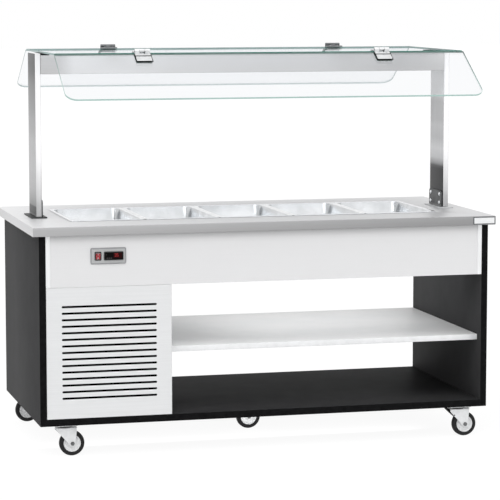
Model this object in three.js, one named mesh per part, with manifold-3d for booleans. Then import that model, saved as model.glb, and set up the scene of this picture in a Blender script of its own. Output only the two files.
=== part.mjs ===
// Chilled mobile salad bar: a counter with five lift-out food pans under a glass canopy,
// on an open cabinet with a machine bay and five swivel casters.
// Millimetres, +X to the right, -Y to the front, +Z up, origin on the floor under the middle.

import * as THREE from "three";
import { mergeVertices } from "three/addons/utils/BufferGeometryUtils.js";
import Module from "manifold-3d";

const wasm = await Module();
wasm.setup();

// ---------- Driving dimensions ----------

const gap = 0.3;                       // clearance between pieces that touch

// Cabinet boards
const cabinetLength = 1960;            // over the side panels
const cabinetDepth = 920;
const sidePanelThickness = 28;
const baseThickness = 30;
const boardChamfer = 1.2;
const shelfClearHeight = 257;          // base to the underside of the shelf
const shelfThickness = 24;
const shelfSetback = 46;               // from the cabinet's front
const bayLength = 532;                 // machine bay, inside the left panel
const bayWallThickness = 18;

// Counter: a folded sheet top with a turned-under edge
const counterHeight = 968;
const counterThickness = 38;           // height of its folded edge
const counterEndOverhang = 28;
const counterFrontOverhang = 20;
const counterSheet = 3;
const counterLip = 15;
const counterChamfer = 1.5;

// Well
const wellDepth = 150;                 // counter top down to the well's floor
const tubWall = 2;
const tubFlange = 19;
const openingCornerRadius = 30;
const drainRadius = 13;
const drainLength = 36;

// Food pans, full gastronorm size
const panCount = 5;
const panLength = 530;
const panWidth = 325;
const panDepth = 100;
const panSheet = 1.2;
const panRimWidth = 14;
const panRimRise = 3.2;
const panTaper = 10;                   // how far each wall leans in over the depth
const panFootChamfer = 12;
const panCornerRadius = 34;
const panRimCorner = 14;
const panSpacing = 0.6;                // between neighbouring rims
const panSupport = 9;                  // rim resting on the counter

// Aprons and louvre panels
const apronDrop = 216;                 // below the counter's edge
const sheet = 2.5;
const sheetReturn = 22;                // depth of their folded edges
const apronEndStrip = 19;              // stepped strip at the apron's ends
const apronEndStep = 2.5;
const slotCount = 15;
const slotLength = 402;
const slotHeight = 9;
const slotPitch = 27.4;
const slotRise = 2.5;                  // slots' middle above the panel's middle

// Controls on the apron
const bezelWidth = 150;
const bezelHeight = 68;
const bezelThickness = 4;
const bezelBorder = 6;                 // kept clear round the apron's cut-out
const bezelFromLeft = 263;             // side panel to the bezel's middle
const bezelBelowCounter = 88;
const rockerWidth = 21;
const rockerHeight = 30;
const rockerThickness = 9;
const rockerClearance = 1;
const rockerTilt = 9;                  // degrees each way
const rockerOffset = -44;              // from the bezel's middle
const controllerWidth = 82;
const controllerHeight = 36;
const controllerLid = 5;
const controllerLidBorder = 6;
const controllerDepth = 26;
const controllerOffset = 22;

// Bare plate on the counter's edge
const plateWidth = 100;
const plateHeight = 33;
const plateThickness = 1.5;
const plateEndGap = 3;

// Posts and their brackets
const postPlace = 0.5214;              // from the pans to the counter's end, as a share
const postWidth = 25;
const postDepth = 180;
const postCorner = 4;
const tubeWall = 2;                    // of posts and beam
const footWidth = 68;
const footDepth = 200;
const footThickness = 6;
const flangeHeight = 76;
const flangeThickness = 5;
const flangeDepth = 164;
const filletSize = 8;

// Beam, lamp and glass pads
const beamHeight = 80;
const lampWidth = 90;
const lampRecess = 24;
const lampBow = 4;                     // how far the diffuser bows out below
const padWidth = 38;
const padThickness = 7;

// Glass canopy
const glassTopHeight = 1676;           // upper face of the level pane
const glassThickness = 8;
const glassChamfer = 0.8;
const topGlassInset = 25;              // from the posts' middles
const topGlassDepth = 716;
const sideGlassOverlap = 2;            // beyond the level pane at each end
const sideGlassWidth = 328;
const sideGlassSlope = 32;             // degrees below level
const sideGlassCorner = 48;

// Hinged clamps on the glass
const clampSpacing = 1044;             // between the two clamps of one side
const clampLength = 66;
const jawPlate = 6.5;
const upperJawReach = 50;              // pin to the far end of the outer plate
const lowerJawReach = 68;
const jawCorner = 3;
const innerPlate = 4;
const innerPlateStart = 13;
const innerPlateInset = 3;             // from the outer plate's edges
const studRadius = 7;
const studSetback = 22;                // plate's far end to the studs
const studSpacing = 34;
const pinRadius = 3;
const pinStandoff = 11;                // pin axis above the glass
const knuckleRadius = 8;
const knuckleGap = 0.6;
const glassEdgeSet = 7.6;              // pin to the edge of the glass

// Casters
const casterInsetX = 112;              // cabinet's end to the swivel axis
const casterInsetY = 55;
const casterTrail = 28;
const casterPlateLength = 100;
const casterPlateWidth = 84;
const casterPlateThickness = 4;
const casterPlateCorner = 8;
const casterHoleInset = 11;
const casterHoleRadius = 4.5;
const casterRaceRadius = 29;
const casterRaceHeight = 9;
const wheelDiameter = 106;
const wheelWidth = 28;
const wheelHeadroom = 11.7;             // tyre to the fork's crown
const tyreShoulder = 4;
const hubRadius = 35;
const hubWidth = 34;
const hubBossRadius = 15;
const hubSideGap = 2;
const forkSheet = 3;
const forkCrown = 4;
const forkTopFront = 40;
const forkTopRear = 47;
const forkApronHeight = 11;            // straight part of the cheeks' edges
const forkEyeRadius = 15;
const axleRadius = 5;
const axleClearance = 0.4;
const axleNutRadius = 9;
const axleNutHeight = 5;

// Brake pedals
const pedalSideGap = 1;
const pedalThickness = 6;
const treadLength = 48;
const treadAngle = 137;                // degrees above the fork's trailing direction
const pedalPivotAngle = 140;           // seen from the axle
const pedalWheelGap = 11;              // tyre to the pivot
const pedalBarrelRadius = 4.6;
const pedalPinRadius = 2.5;

// Machine bay
const compressorRadius = 82;
const compressorHeight = 190;
const compressorOffset = 36;           // from the bay's middle
const compressorFromRear = 310;
const beltWidth = 5;
const mountHeight = 14;
const mountRadius = 11;
const mountInset = 14;
const footPlateThickness = 4;
const condenserWidth = 300;
const condenserHeight = 290;
const condenserThickness = 56;
const condenserFrontGap = 24;          // behind the louvre panel's folds
const finCount = 8;
const finThickness = 2;
const finReach = 6;                    // beyond the block of tubes
const shroudThickness = 5;
const fanHubRadius = 22;
const fanRadius = 118;
const fanMouthGap = 6;
const fanBlades = 5;
const fanBladeSheet = 2;
const fanPitch = 20;                   // degrees
const fanTipAngle = 0.3;               // half the tip's width, in radians
const fanWidth = 26;
const motorRadius = 32;
const motorLength = 44;
const motorGap = 8;
const armWidth = 10;
const armThickness = 5;
const legRadius = 4;
const armCount = 3;

// Power inlet
const inletWidth = 48;
const inletHeight = 28;
const inletCollar = 6;
const inletWall = 4;
const inletFlange = 3;
const inletFlangeBorder = 6;
const inletAboveBase = 40;

// ---------- Places worked out from them ----------

const radians = THREE.MathUtils.degToRad;
const wheelRadius = wheelDiameter / 2;
const crownDrop = casterPlateThickness + casterRaceHeight + gap;
const casterHeight = wheelDiameter + wheelHeadroom + forkCrown + crownDrop;
const axleDrop = casterHeight - wheelRadius;
const forkInnerWidth = hubWidth + 2 * hubSideGap;
const forkOuterWidth = forkInnerWidth + 2 * forkSheet;
const pedalPivotX = casterTrail + (wheelRadius + pedalWheelGap) * Math.cos(radians(pedalPivotAngle));
const pedalPivotZ = -axleDrop + (wheelRadius + pedalWheelGap) * Math.sin(radians(pedalPivotAngle));

const panelInnerX = cabinetLength / 2 - sidePanelThickness;
const frontY = -cabinetDepth / 2;
const baseTop = casterHeight + baseThickness;
const shelfTop = baseTop + shelfClearHeight + shelfThickness;
const counterLength = cabinetLength + 2 * counterEndOverhang;
const counterDepth = cabinetDepth + 2 * counterFrontOverhang;
const counterEdgeBottom = counterHeight - counterThickness;
const boardTop = counterHeight - counterSheet - gap;
const apronBottom = counterEdgeBottom - apronDrop;
const bayWallX = -panelInnerX + bayLength;
const bayMiddleX = -panelInnerX + bayLength / 2;
const apronFace = frontY + apronEndStep;
const bezelX = -panelInnerX + bezelFromLeft;
const bezelZ = counterEdgeBottom - bezelBelowCounter;

const panPitch = panWidth + panSpacing;
const wellLength = panPitch * (panCount - 1) + panWidth - 2 * panSupport;
const wellWidth = panLength - 2 * panSupport;
const pansEnd = wellLength / 2 + panSupport;

const postX = pansEnd + postPlace * (counterLength / 2 - pansEnd);
const postBottom = counterHeight + footThickness + 2 * gap;
const glassUnderside = glassTopHeight - glassThickness;
const beamTop = glassUnderside - padThickness - 2 * gap;
const beamBottom = beamTop - beamHeight;
const beamLength = 2 * postX - postWidth - 2 * gap;
const topGlassLength = 2 * (postX - topGlassInset);
const sideGlassLength = topGlassLength + 2 * sideGlassOverlap;
const pinY = topGlassDepth / 2 + glassEdgeSet;
const pinZ = glassTopHeight + pinStandoff;

// ---------- Finishes ----------

function finish(colour, roughness, metalness) {
  return new THREE.MeshStandardMaterial({ color: colour, roughness, metalness });
}

const blackBoard = finish(0x2b2b2d, 0.6, 0);
const counterSteel = finish(0xc4c6c8, 0.4, 0.8);
const satinSteel = finish(0xb9bbbd, 0.35, 0.9);
const paleSheet = finish(0xe2e3e4, 0.5, 0.1);
const whiteBoard = finish(0xececec, 0.5, 0);
const clearGlass = finish(0xdcebe8, 0.05, 0);
clearGlass.transparent = true;
clearGlass.opacity = 0.35;
const chrome = finish(0xd8dadc, 0.15, 1);
const zinc = finish(0xcfd1d3, 0.35, 0.8);
const tyreRubber = finish(0x262626, 0.8, 0);
const padRubber = finish(0x1c1d1e, 0.8, 0);
const bezelGrey = finish(0xa9abad, 0.5, 0.2);
const rockerRed = finish(0xc02838, 0.35, 0);
const displayBlack = finish(0x141416, 0.2, 0);
const blackPaint = finish(0x1e1f20, 0.45, 0.3);
const aluminium = finish(0xb7babd, 0.4, 0.9);
const lampWhite = finish(0xf3f4f2, 0.4, 0);

// ---------- Making solids ----------

const bar = new THREE.Group();

function addPiece(name, geometry, material, parent = bar) {
  const mesh = new THREE.Mesh(geometry, material);
  mesh.name = name;
  parent.add(mesh);
  return mesh;
}

function toSolid(geometry) {
  const bare = geometry.clone();
  bare.deleteAttribute("normal");
  bare.deleteAttribute("uv");
  const welded = mergeVertices(bare, 1e-4);
  return new wasm.Manifold(new wasm.Mesh({
    numProp: 3,
    vertProperties: new Float32Array(welded.attributes.position.array),
    triVerts: new Uint32Array(welded.index.array),
  }));
}

function toGeometry(solid) {
  const mesh = solid.getMesh();
  const geometry = new THREE.BufferGeometry();
  geometry.setAttribute("position", new THREE.BufferAttribute(new Float32Array(mesh.vertProperties), 3));
  geometry.setIndex(new THREE.BufferAttribute(new Uint32Array(mesh.triVerts), 1));
  geometry.computeVertexNormals();
  return geometry;
}

function join(...geometries) {
  return toGeometry(geometries.map(toSolid).reduce((sum, next) => sum.add(next)));
}

function cut(geometry, ...tools) {
  return toGeometry(tools.map(toSolid).reduce((rest, tool) => rest.subtract(tool), toSolid(geometry)));
}

// A box given by its limits, for cutting tools and plain blocks.
function block([x0, x1], [y0, y1], [z0, z1]) {
  const geometry = new THREE.BoxGeometry(x1 - x0, y1 - y0, z1 - z0);
  return geometry.translate((x0 + x1) / 2, (y0 + y1) / 2, (z0 + z1) / 2);
}

function roundedRectangle(width, height, radius) {
  const shape = new THREE.Shape();
  const w = width / 2;
  const h = height / 2;
  shape.moveTo(-w + radius, -h);
  shape.lineTo(w - radius, -h);
  shape.absarc(w - radius, -h + radius, radius, -Math.PI / 2, 0);
  shape.lineTo(w, h - radius);
  shape.absarc(w - radius, h - radius, radius, 0, Math.PI / 2);
  shape.lineTo(-w + radius, h);
  shape.absarc(-w + radius, h - radius, radius, Math.PI / 2, Math.PI);
  shape.lineTo(-w, -h + radius);
  shape.absarc(-w + radius, -h + radius, radius, Math.PI, Math.PI * 1.5);
  return shape;
}

function rectangle(width, height) {
  const w = width / 2;
  const h = height / 2;
  return polygon([[-w, -h], [w, -h], [w, h], [-w, h]]);
}

// The outline of a slot with round ends.
function stadium(length, height) {
  const radius = height / 2;
  const reach = length / 2 - radius;
  const shape = new THREE.Shape();
  shape.moveTo(-reach, -radius);
  shape.lineTo(reach, -radius);
  shape.absarc(reach, 0, radius, -Math.PI / 2, Math.PI / 2);
  shape.lineTo(-reach, radius);
  shape.absarc(-reach, 0, radius, Math.PI / 2, Math.PI * 1.5);
  return shape;
}

function polygon(points) {
  return new THREE.Shape(points.map(([x, y]) => new THREE.Vector2(x, y)));
}

// A shape's outline, moved, to be a hole in another shape.
function movedPath(shape, x, y, curveSegments) {
  return new THREE.Path(shape.getPoints(curveSegments).map((point) => point.add(new THREE.Vector2(x, y))));
}

// Extrude a shape to a thickness, from z = 0 up, with chamfered rims inside that thickness.
function prism(shape, thickness, chamfer = 0, curveSegments = 1) {
  const geometry = new THREE.ExtrudeGeometry(shape, {
    depth: thickness - 2 * chamfer,
    bevelEnabled: chamfer > 0,
    bevelThickness: chamfer,
    bevelSize: chamfer,
    bevelOffset: -chamfer,
    bevelSegments: 1,
    curveSegments,
  });
  return geometry.translate(0, 0, chamfer);
}

// A board given by its limits, with chamfered edges on its two large faces.
function board([x0, x1], [y0, y1], [z0, z1], chamfer) {
  const size = [x1 - x0, y1 - y0, z1 - z0];
  const thin = size.indexOf(Math.min(...size));
  let geometry;
  if (thin === 0) {
    geometry = prism(rectangle(size[1], size[2]), size[0], chamfer);
    geometry.rotateX(Math.PI / 2).rotateZ(Math.PI / 2).translate(-size[0] / 2, 0, 0);
  } else if (thin === 1) {
    geometry = prism(rectangle(size[0], size[2]), size[1], chamfer);
    geometry.rotateX(Math.PI / 2).translate(0, size[1] / 2, 0);
  } else {
    geometry = prism(rectangle(size[0], size[1]), size[2], chamfer).translate(0, 0, -size[2] / 2);
  }
  return geometry.translate((x0 + x1) / 2, (y0 + y1) / 2, (z0 + z1) / 2);
}

// Extrude a side profile drawn in (y, z) along X, centred on x = 0.
function alongX(profile, length, chamfer = 0, curveSegments = 1) {
  const geometry = prism(profile, length, chamfer, curveSegments);
  return geometry.translate(0, 0, -length / 2).rotateX(Math.PI / 2).rotateZ(Math.PI / 2);
}

// Extrude a side profile drawn in (x, z) along Y, centred on y = 0.
function alongY(profile, width, chamfer = 0, curveSegments = 1) {
  const geometry = prism(profile, width, chamfer, curveSegments);
  return geometry.translate(0, 0, -width / 2).rotateX(Math.PI / 2);
}

// Cylinders by their axis.
function rodX(radius, length, sides = 16) {
  return new THREE.CylinderGeometry(radius, radius, length, sides).rotateZ(Math.PI / 2);
}

function rodY(radius, length, sides = 16) {
  return new THREE.CylinderGeometry(radius, radius, length, sides);
}

function rodZ(radius, length, sides = 16) {
  return new THREE.CylinderGeometry(radius, radius, length, sides).rotateX(Math.PI / 2);
}

// Turn a profile of [radius, height] points about the Z axis.
function turned(profile, sides) {
  const points = profile.map(([radius, height]) => new THREE.Vector2(radius, height));
  return new THREE.LatheGeometry(points, sides).rotateX(Math.PI / 2);
}

// Join rings of equal point counts into one closed skin, capped at the first and last ring.
function skin(rings) {
  const count = rings[0].length;
  const positions = rings.flat().flatMap((point) => point.toArray());
  const indices = [];
  for (let ring = 0; ring < rings.length - 1; ring += 1) {
    for (let i = 0; i < count; i += 1) {
      const a = ring * count + i;
      const b = ring * count + ((i + 1) % count);
      indices.push(a, b, b + count, a, b + count, a + count);
    }
  }
  const last = (rings.length - 1) * count;
  for (let i = 1; i < count - 1; i += 1) {
    indices.push(0, i + 1, i, last, last + i, last + i + 1);
  }
  const geometry = new THREE.BufferGeometry();
  geometry.setAttribute("position", new THREE.Float32BufferAttribute(positions, 3));
  geometry.setIndex(indices);
  geometry.computeVertexNormals();
  return geometry;
}

// ---------- Cabinet ----------

function addCabinet() {
  const depth = [frontY, -frontY];
  const panelHeight = [casterHeight, boardTop];
  const outer = cabinetLength / 2;
  addPiece("left_side_panel", board([-outer, -panelInnerX], depth, panelHeight, boardChamfer), blackBoard);
  addPiece("right_side_panel", board([panelInnerX, outer], depth, panelHeight, boardChamfer), blackBoard);

  const between = [-panelInnerX + gap, panelInnerX - gap];
  addPiece("base_board", board(between, depth, [casterHeight, baseTop], boardChamfer), blackBoard);

  const shelfLength = [bayWallX + gap, panelInnerX - gap];
  const shelfDepth = [frontY + shelfSetback, -frontY - boardChamfer];
  const shelfLevel = [shelfTop - shelfThickness, shelfTop];
  addPiece("mid_shelf", board(shelfLength, shelfDepth, shelfLevel, boardChamfer), whiteBoard);

  const wallDepth = [frontY + sheetReturn + gap, -frontY - sheetReturn - gap];
  const wallHeight = [baseTop + gap, apronBottom - gap];
  const wallThickness = [bayWallX - bayWallThickness, bayWallX];
  addPiece("machine_bay_wall", board(wallThickness, wallDepth, wallHeight, boardChamfer), whiteBoard);
}

// A sheet folded back along its two upright edges, with a row of round-ended slots.
function louvrePanel() {
  const half = bayLength / 2 - gap;
  const height = apronBottom - baseTop - 2 * gap;
  const plan = polygon([
    [-half, 0],
    [half, 0],
    [half, sheetReturn],
    [half - sheet, sheetReturn],
    [half - sheet, sheet],
    [sheet - half, sheet],
    [sheet - half, sheetReturn],
    [-half, sheetReturn],
  ]);
  const slots = [];
  for (let i = 0; i < slotCount; i += 1) {
    const level = height / 2 + (i - (slotCount - 1) / 2) * slotPitch + slotRise;
    slots.push(alongY(stadium(slotLength, slotHeight), 4 * sheet, 0, 2).translate(0, 0, level));
  }
  return cut(prism(plan, height), ...slots);
}

function addLouvrePanels() {
  const geometry = louvrePanel();
  const front = addPiece("front_louvre_panel", geometry, paleSheet);
  front.position.set(bayMiddleX, frontY, baseTop + gap);
  const rear = addPiece("rear_louvre_panel", geometry, paleSheet);
  rear.position.set(bayMiddleX, -frontY, baseTop + gap);
  rear.rotation.z = Math.PI;
}

// A sheet folded back at both ends, with a stepped strip along each end, seen from above.
function apronGeometry() {
  const half = panelInnerX - gap;
  const strip = half - apronEndStrip;
  const plan = polygon([
    [-half, 0],
    [-strip, 0],
    [-strip, apronEndStep],
    [strip, apronEndStep],
    [strip, 0],
    [half, 0],
    [half, sheetReturn],
    [half - sheet, sheetReturn],
    [half - sheet, sheet],
    [strip + sheet, sheet],
    [strip + sheet, apronEndStep + sheet],
    [-strip - sheet, apronEndStep + sheet],
    [-strip - sheet, sheet],
    [-half + sheet, sheet],
    [-half + sheet, sheetReturn],
    [-half, sheetReturn],
  ]);
  return prism(plan, boardTop - apronBottom - gap);
}

function addAprons() {
  const front = apronGeometry().translate(0, frontY, apronBottom + gap);
  const cutHalf = bezelHeight / 2 - bezelBorder;
  const opening = block(
    [bezelX - bezelWidth / 2 + bezelBorder, bezelX + bezelWidth / 2 - bezelBorder],
    [frontY - sheet, frontY + 3 * sheet],
    [bezelZ - cutHalf, bezelZ + cutHalf],
  );
  addPiece("front_apron", cut(front, opening), paleSheet);
  const rear = apronGeometry().rotateZ(Math.PI).translate(0, -frontY, apronBottom + gap);
  addPiece("rear_apron", rear, paleSheet);
}

// ---------- Counter, well and pans ----------

function addCounter() {
  const opening = roundedRectangle(wellLength, wellWidth, openingCornerRadius);
  const outline = rectangle(counterLength, counterDepth);
  outline.holes.push(movedPath(opening, 0, 0, 3));
  const slab = prism(outline, counterThickness, counterChamfer).translate(0, 0, counterEdgeBottom);
  const inside = (inset, low, high) => {
    const x = counterLength / 2 - inset;
    const y = counterDepth / 2 - inset;
    return block([-x, x], [-y, y], [low, high]);
  };
  const hollow = inside(counterSheet, counterEdgeBottom + counterSheet, counterHeight - counterSheet);
  const mouth = inside(counterLip, counterEdgeBottom - 1, counterEdgeBottom + 2 * counterSheet);
  addPiece("counter_top", cut(slab, hollow, mouth), counterSteel);

  // The tub: a flanged box, welded up square, open at the top, with a drain spout below.
  const floor = counterHeight - wellDepth;
  const boxed = (reach, low, high) => {
    const x = wellLength / 2 + reach;
    const y = wellWidth / 2 + reach;
    return block([-x, x], [-y, y], [low, high]);
  };
  const walls = boxed(tubWall, floor - tubWall, boardTop);
  const rim = boxed(tubFlange, boardTop - tubWall, boardTop);
  const inner = boxed(0, floor, counterHeight);
  const spout = rodZ(drainRadius, drainLength, 12).translate(0, 0, floor - tubWall / 2 - drainLength / 2);
  const bore = rodZ(drainRadius - tubWall, 2 * drainLength, 12).translate(0, 0, floor - drainLength / 2);
  addPiece("well_tub", cut(join(walls, rim, spout), inner, bore), satinSteel);
}

// One pan as a thin skin: up the outside, over the rolled rim and down the inside.
function panGeometry() {
  const ring = (inset, radius, height) => {
    const shape = roundedRectangle(panWidth - 2 * inset, panLength - 2 * inset, radius);
    return shape.getPoints(2).slice(0, -1).map((point) => new THREE.Vector3(point.x, point.y, height));
  };
  const bottom = panRimRise - panDepth;
  const foot = panRimWidth + panTaper;
  const rolled = panRimRise - panSheet;
  const floorInset = foot + panFootChamfer;
  const floorCorner = panCornerRadius - panFootChamfer;
  const innerCorner = panCornerRadius - panSheet;
  return skin([
    ring(floorInset, floorCorner, bottom),
    ring(foot, panCornerRadius, bottom + panFootChamfer),
    ring(panRimWidth, panCornerRadius, 0),
    ring(0, panRimCorner, 0),
    ring(rolled / 2, panRimCorner, panRimRise),
    ring(2 * rolled, panRimCorner, panRimRise),
    ring(panRimWidth, innerCorner, panSheet),
    ring(foot + panSheet, innerCorner, bottom + panFootChamfer),
    ring(floorInset + panSheet / 2, floorCorner, bottom + panSheet),
  ]);
}

function addPans() {
  const geometry = panGeometry();
  for (let i = 0; i < panCount; i += 1) {
    const pan = addPiece(`pan_${i + 1}`, geometry, satinSteel);
    pan.position.set((i - (panCount - 1) / 2) * panPitch, 0, counterHeight + gap);
  }
}

// ---------- Controls and bare plate ----------

function addControls() {
  const face = roundedRectangle(bezelWidth, bezelHeight, 5);
  const rockerHole = rectangle(rockerWidth + 2 * rockerClearance, rockerHeight + 2 * rockerClearance);
  const bodyX = controllerWidth / 2 - controllerLidBorder;
  const bodyZ = controllerHeight / 2 - controllerLidBorder;
  const controllerHole = rectangle(2 * (bodyX + gap), 2 * (bodyZ + gap));
  face.holes.push(movedPath(rockerHole, rockerOffset, 0, 1));
  face.holes.push(movedPath(controllerHole, controllerOffset, 0, 1));
  const bezel = addPiece("control_bezel", prism(face, bezelThickness, 0.8).rotateX(Math.PI / 2), bezelGrey);
  bezel.position.set(bezelX, apronFace - gap, bezelZ);

  // The rocker's face is a shallow valley, so the half that isn't pressed stands out.
  const half = rockerHeight / 2;
  const thick = rockerThickness / 2;
  const valley = Math.tan(radians(rockerTilt)) * half;
  const side = polygon([
    [-thick, 3 - half],
    [thick, 1 - half],
    [thick - valley / 2, 0],
    [thick, half - 1],
    [-thick, half - 3],
  ]);
  const rocker = addPiece("rocker_switch", alongX(side, rockerWidth, 0.5).rotateZ(Math.PI), rockerRed);
  rocker.position.set(bezelX + rockerOffset, apronFace - gap - bezelThickness, bezelZ);
  rocker.rotation.x = radians(rockerTilt);

  // The controller: a raised face with a body that plugs through the bezel.
  const lid = prism(roundedRectangle(controllerWidth, controllerHeight, 4), controllerLid, 1);
  const body = block([-bodyX, bodyX], [-1, controllerDepth], [-bodyZ, bodyZ]);
  const controller = addPiece("temperature_controller", join(lid.rotateX(Math.PI / 2), body), displayBlack);
  controller.position.set(bezelX + controllerOffset, apronFace - 2 * gap - bezelThickness, bezelZ);
}

function addNamePlate() {
  const plate = prism(roundedRectangle(plateWidth, plateHeight, 2), plateThickness, 0.3);
  const mesh = addPiece("name_plate", plate.rotateX(Math.PI / 2), aluminium);
  const x = counterLength / 2 - plateEndGap - plateWidth / 2;
  mesh.position.set(x, -counterDepth / 2 - gap, counterHeight - counterThickness / 2);
}

// ---------- Posts and beam ----------

// A foot plate with an upright flange, joined by a fillet, drawn for the left post.
function postBracket() {
  const foot = prism(roundedRectangle(footWidth, footDepth, 6), footThickness, 0.8);
  const inner = postWidth / 2 + gap;
  const flange = prism(roundedRectangle(flangeDepth, flangeHeight, 8), flangeThickness, 0.6);
  flange.rotateX(Math.PI / 2).rotateZ(Math.PI / 2);
  flange.translate(inner, 0, flangeHeight / 2 + 1);
  const corner = new THREE.Shape();
  corner.moveTo(0, 0);
  corner.lineTo(filletSize, 0);
  corner.absarc(filletSize, filletSize, filletSize, -Math.PI / 2, -Math.PI, true);
  const bead = alongY(corner, flangeDepth - 2 * filletSize, 0, 2);
  bead.translate(inner + flangeThickness - 0.5, 0, footThickness - 0.5);
  return join(foot, flange, bead);
}

function addPosts() {
  const height = beamTop - postBottom;
  const outside = prism(roundedRectangle(postWidth, postDepth, postCorner), height);
  const inside = prism(rectangle(postWidth - 2 * tubeWall, postDepth - 2 * tubeWall), height);
  const geometry = cut(outside, inside.translate(0, 0, -tubeWall));
  for (const [name, side] of [["left", -1], ["right", 1]]) {
    addPiece(`${name}_post`, geometry, satinSteel).position.set(side * postX, 0, postBottom);
    const bracket = addPiece(`${name}_post_bracket`, postBracket(), zinc);
    bracket.position.set(side * postX, 0, counterHeight + gap);
    bracket.rotation.z = side > 0 ? Math.PI : 0;
  }
}

function addBeam() {
  // The beam's section: a folded tube with a channel for the lamp in its underside.
  const section = (inset) => {
    const y = postDepth / 2 - inset;
    const z = beamHeight - inset;
    const channel = lampWidth / 2 + inset;
    const top = lampRecess + inset;
    return [[-y, z], [-y, inset], [-channel, inset], [-channel, top], [channel, top], [channel, inset],
      [y, inset], [y, z]];
  };
  const profile = polygon(section(0));
  profile.holes.push(new THREE.Path(polygon(section(tubeWall)).getPoints(1)));
  addPiece("top_beam", alongX(profile, beamLength), satinSteel).position.z = beamBottom;

  // The lamp's diffuser fills the channel and bows a little below the beam.
  const w = lampWidth / 2 - 1;
  const trough = new THREE.Shape();
  trough.moveTo(-w, lampRecess - 1);
  trough.lineTo(-w, lampBow / 2);
  trough.quadraticCurveTo(0, -lampBow * 2, w, lampBow / 2);
  trough.lineTo(w, lampRecess - 1);
  addPiece("light_diffuser", alongX(trough, beamLength - 2, 0, 4), lampWhite).position.z = beamBottom;

  const padLength = postDepth - 2 * postCorner;
  const pad = prism(roundedRectangle(padWidth, padLength, 5), padThickness, 0.8);
  for (const [name, side] of [["left", -1], ["right", 1]]) {
    const mesh = addPiece(`${name}_glass_pad`, pad, padRubber);
    mesh.position.set(side * (beamLength / 2 - padWidth / 2 - 1), 0, beamTop + gap);
  }
}

// ---------- Glass canopy ----------

const studOffsets = [-studSpacing / 2, studSpacing / 2];
const clampPlaces = [-clampSpacing / 2, clampSpacing / 2];

function studHoles(distance) {
  const holes = [];
  for (const x of clampPlaces) {
    for (const offset of studOffsets) {
      holes.push(rodZ(studRadius + gap, 3 * glassThickness, 6).translate(x + offset, distance, 0));
    }
  }
  return holes;
}

function addTopGlass() {
  const pane = prism(rectangle(topGlassLength, topGlassDepth), glassThickness, glassChamfer);
  const reach = pinY - upperJawReach + studSetback;
  const drilled = cut(pane, ...studHoles(-reach), ...studHoles(reach));
  addPiece("top_glass", drilled, clearGlass).position.z = glassUnderside;
}

// A slanted pane in the hinge's frame: the pin is the origin, the pane runs along -Y with its
// outer face at z = -pinStandoff, and its far corners are round.
function slantedPane() {
  const half = sideGlassLength / 2;
  const near = -glassEdgeSet;
  const far = near - sideGlassWidth;
  const outline = new THREE.Shape();
  outline.moveTo(-half, near);
  outline.lineTo(-half, far + sideGlassCorner);
  outline.absarc(-half + sideGlassCorner, far + sideGlassCorner, sideGlassCorner, Math.PI, Math.PI * 1.5);
  outline.lineTo(half - sideGlassCorner, far);
  outline.absarc(half - sideGlassCorner, far + sideGlassCorner, sideGlassCorner, Math.PI * 1.5, Math.PI * 2);
  outline.lineTo(half, near);
  const pane = prism(outline, glassThickness, glassChamfer, 4);
  return cut(pane, ...studHoles(studSetback - lowerJawReach)).translate(0, 0, -pinStandoff - glassThickness);
}

// Half of a hinged clamp in the hinge's frame, reaching along -Y: an outer plate with its
// knuckles, two studs through the glass and an inner plate.
function clampJaw(reach, knuckles, notches) {
  const outerFace = -pinStandoff + gap;
  const outer = prism(roundedRectangle(clampLength, reach, jawCorner), jawPlate, 1.2);
  outer.translate(0, -reach / 2, outerFace);
  const innerReach = reach - innerPlateStart - innerPlateInset;
  const innerLength = clampLength - 2 * innerPlateInset;
  const inner = prism(roundedRectangle(innerLength, innerReach, jawCorner), innerPlate);
  inner.translate(0, -innerPlateStart - innerReach / 2, -pinStandoff - glassThickness - gap - innerPlate);
  const stud = rodZ(studRadius, glassThickness + innerPlate, 6);
  stud.translate(0, studSetback - reach, -pinStandoff - glassThickness / 2);
  const studs = studOffsets.map((x) => stud.clone().translate(x, 0, 0));
  let solid = [inner, ...studs].map(toSolid).reduce((sum, next) => sum.add(next), toSolid(outer));
  const clearance = knuckleRadius + knuckleGap;
  for (const [x0, x1] of notches) {
    solid = solid.subtract(toSolid(block([x0, x1], [-clearance, clearance], [-pinStandoff, pinStandoff])));
  }
  for (const [x0, x1] of knuckles) {
    const knuckle = rodX(knuckleRadius, x1 - x0, 10).translate((x0 + x1) / 2, 0, 0);
    const web = block([x0, x1], [-knuckleRadius, 0], [outerFace + 0.5, 0]);
    solid = solid.add(toSolid(knuckle)).add(toSolid(web));
  }
  return solid;
}

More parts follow.
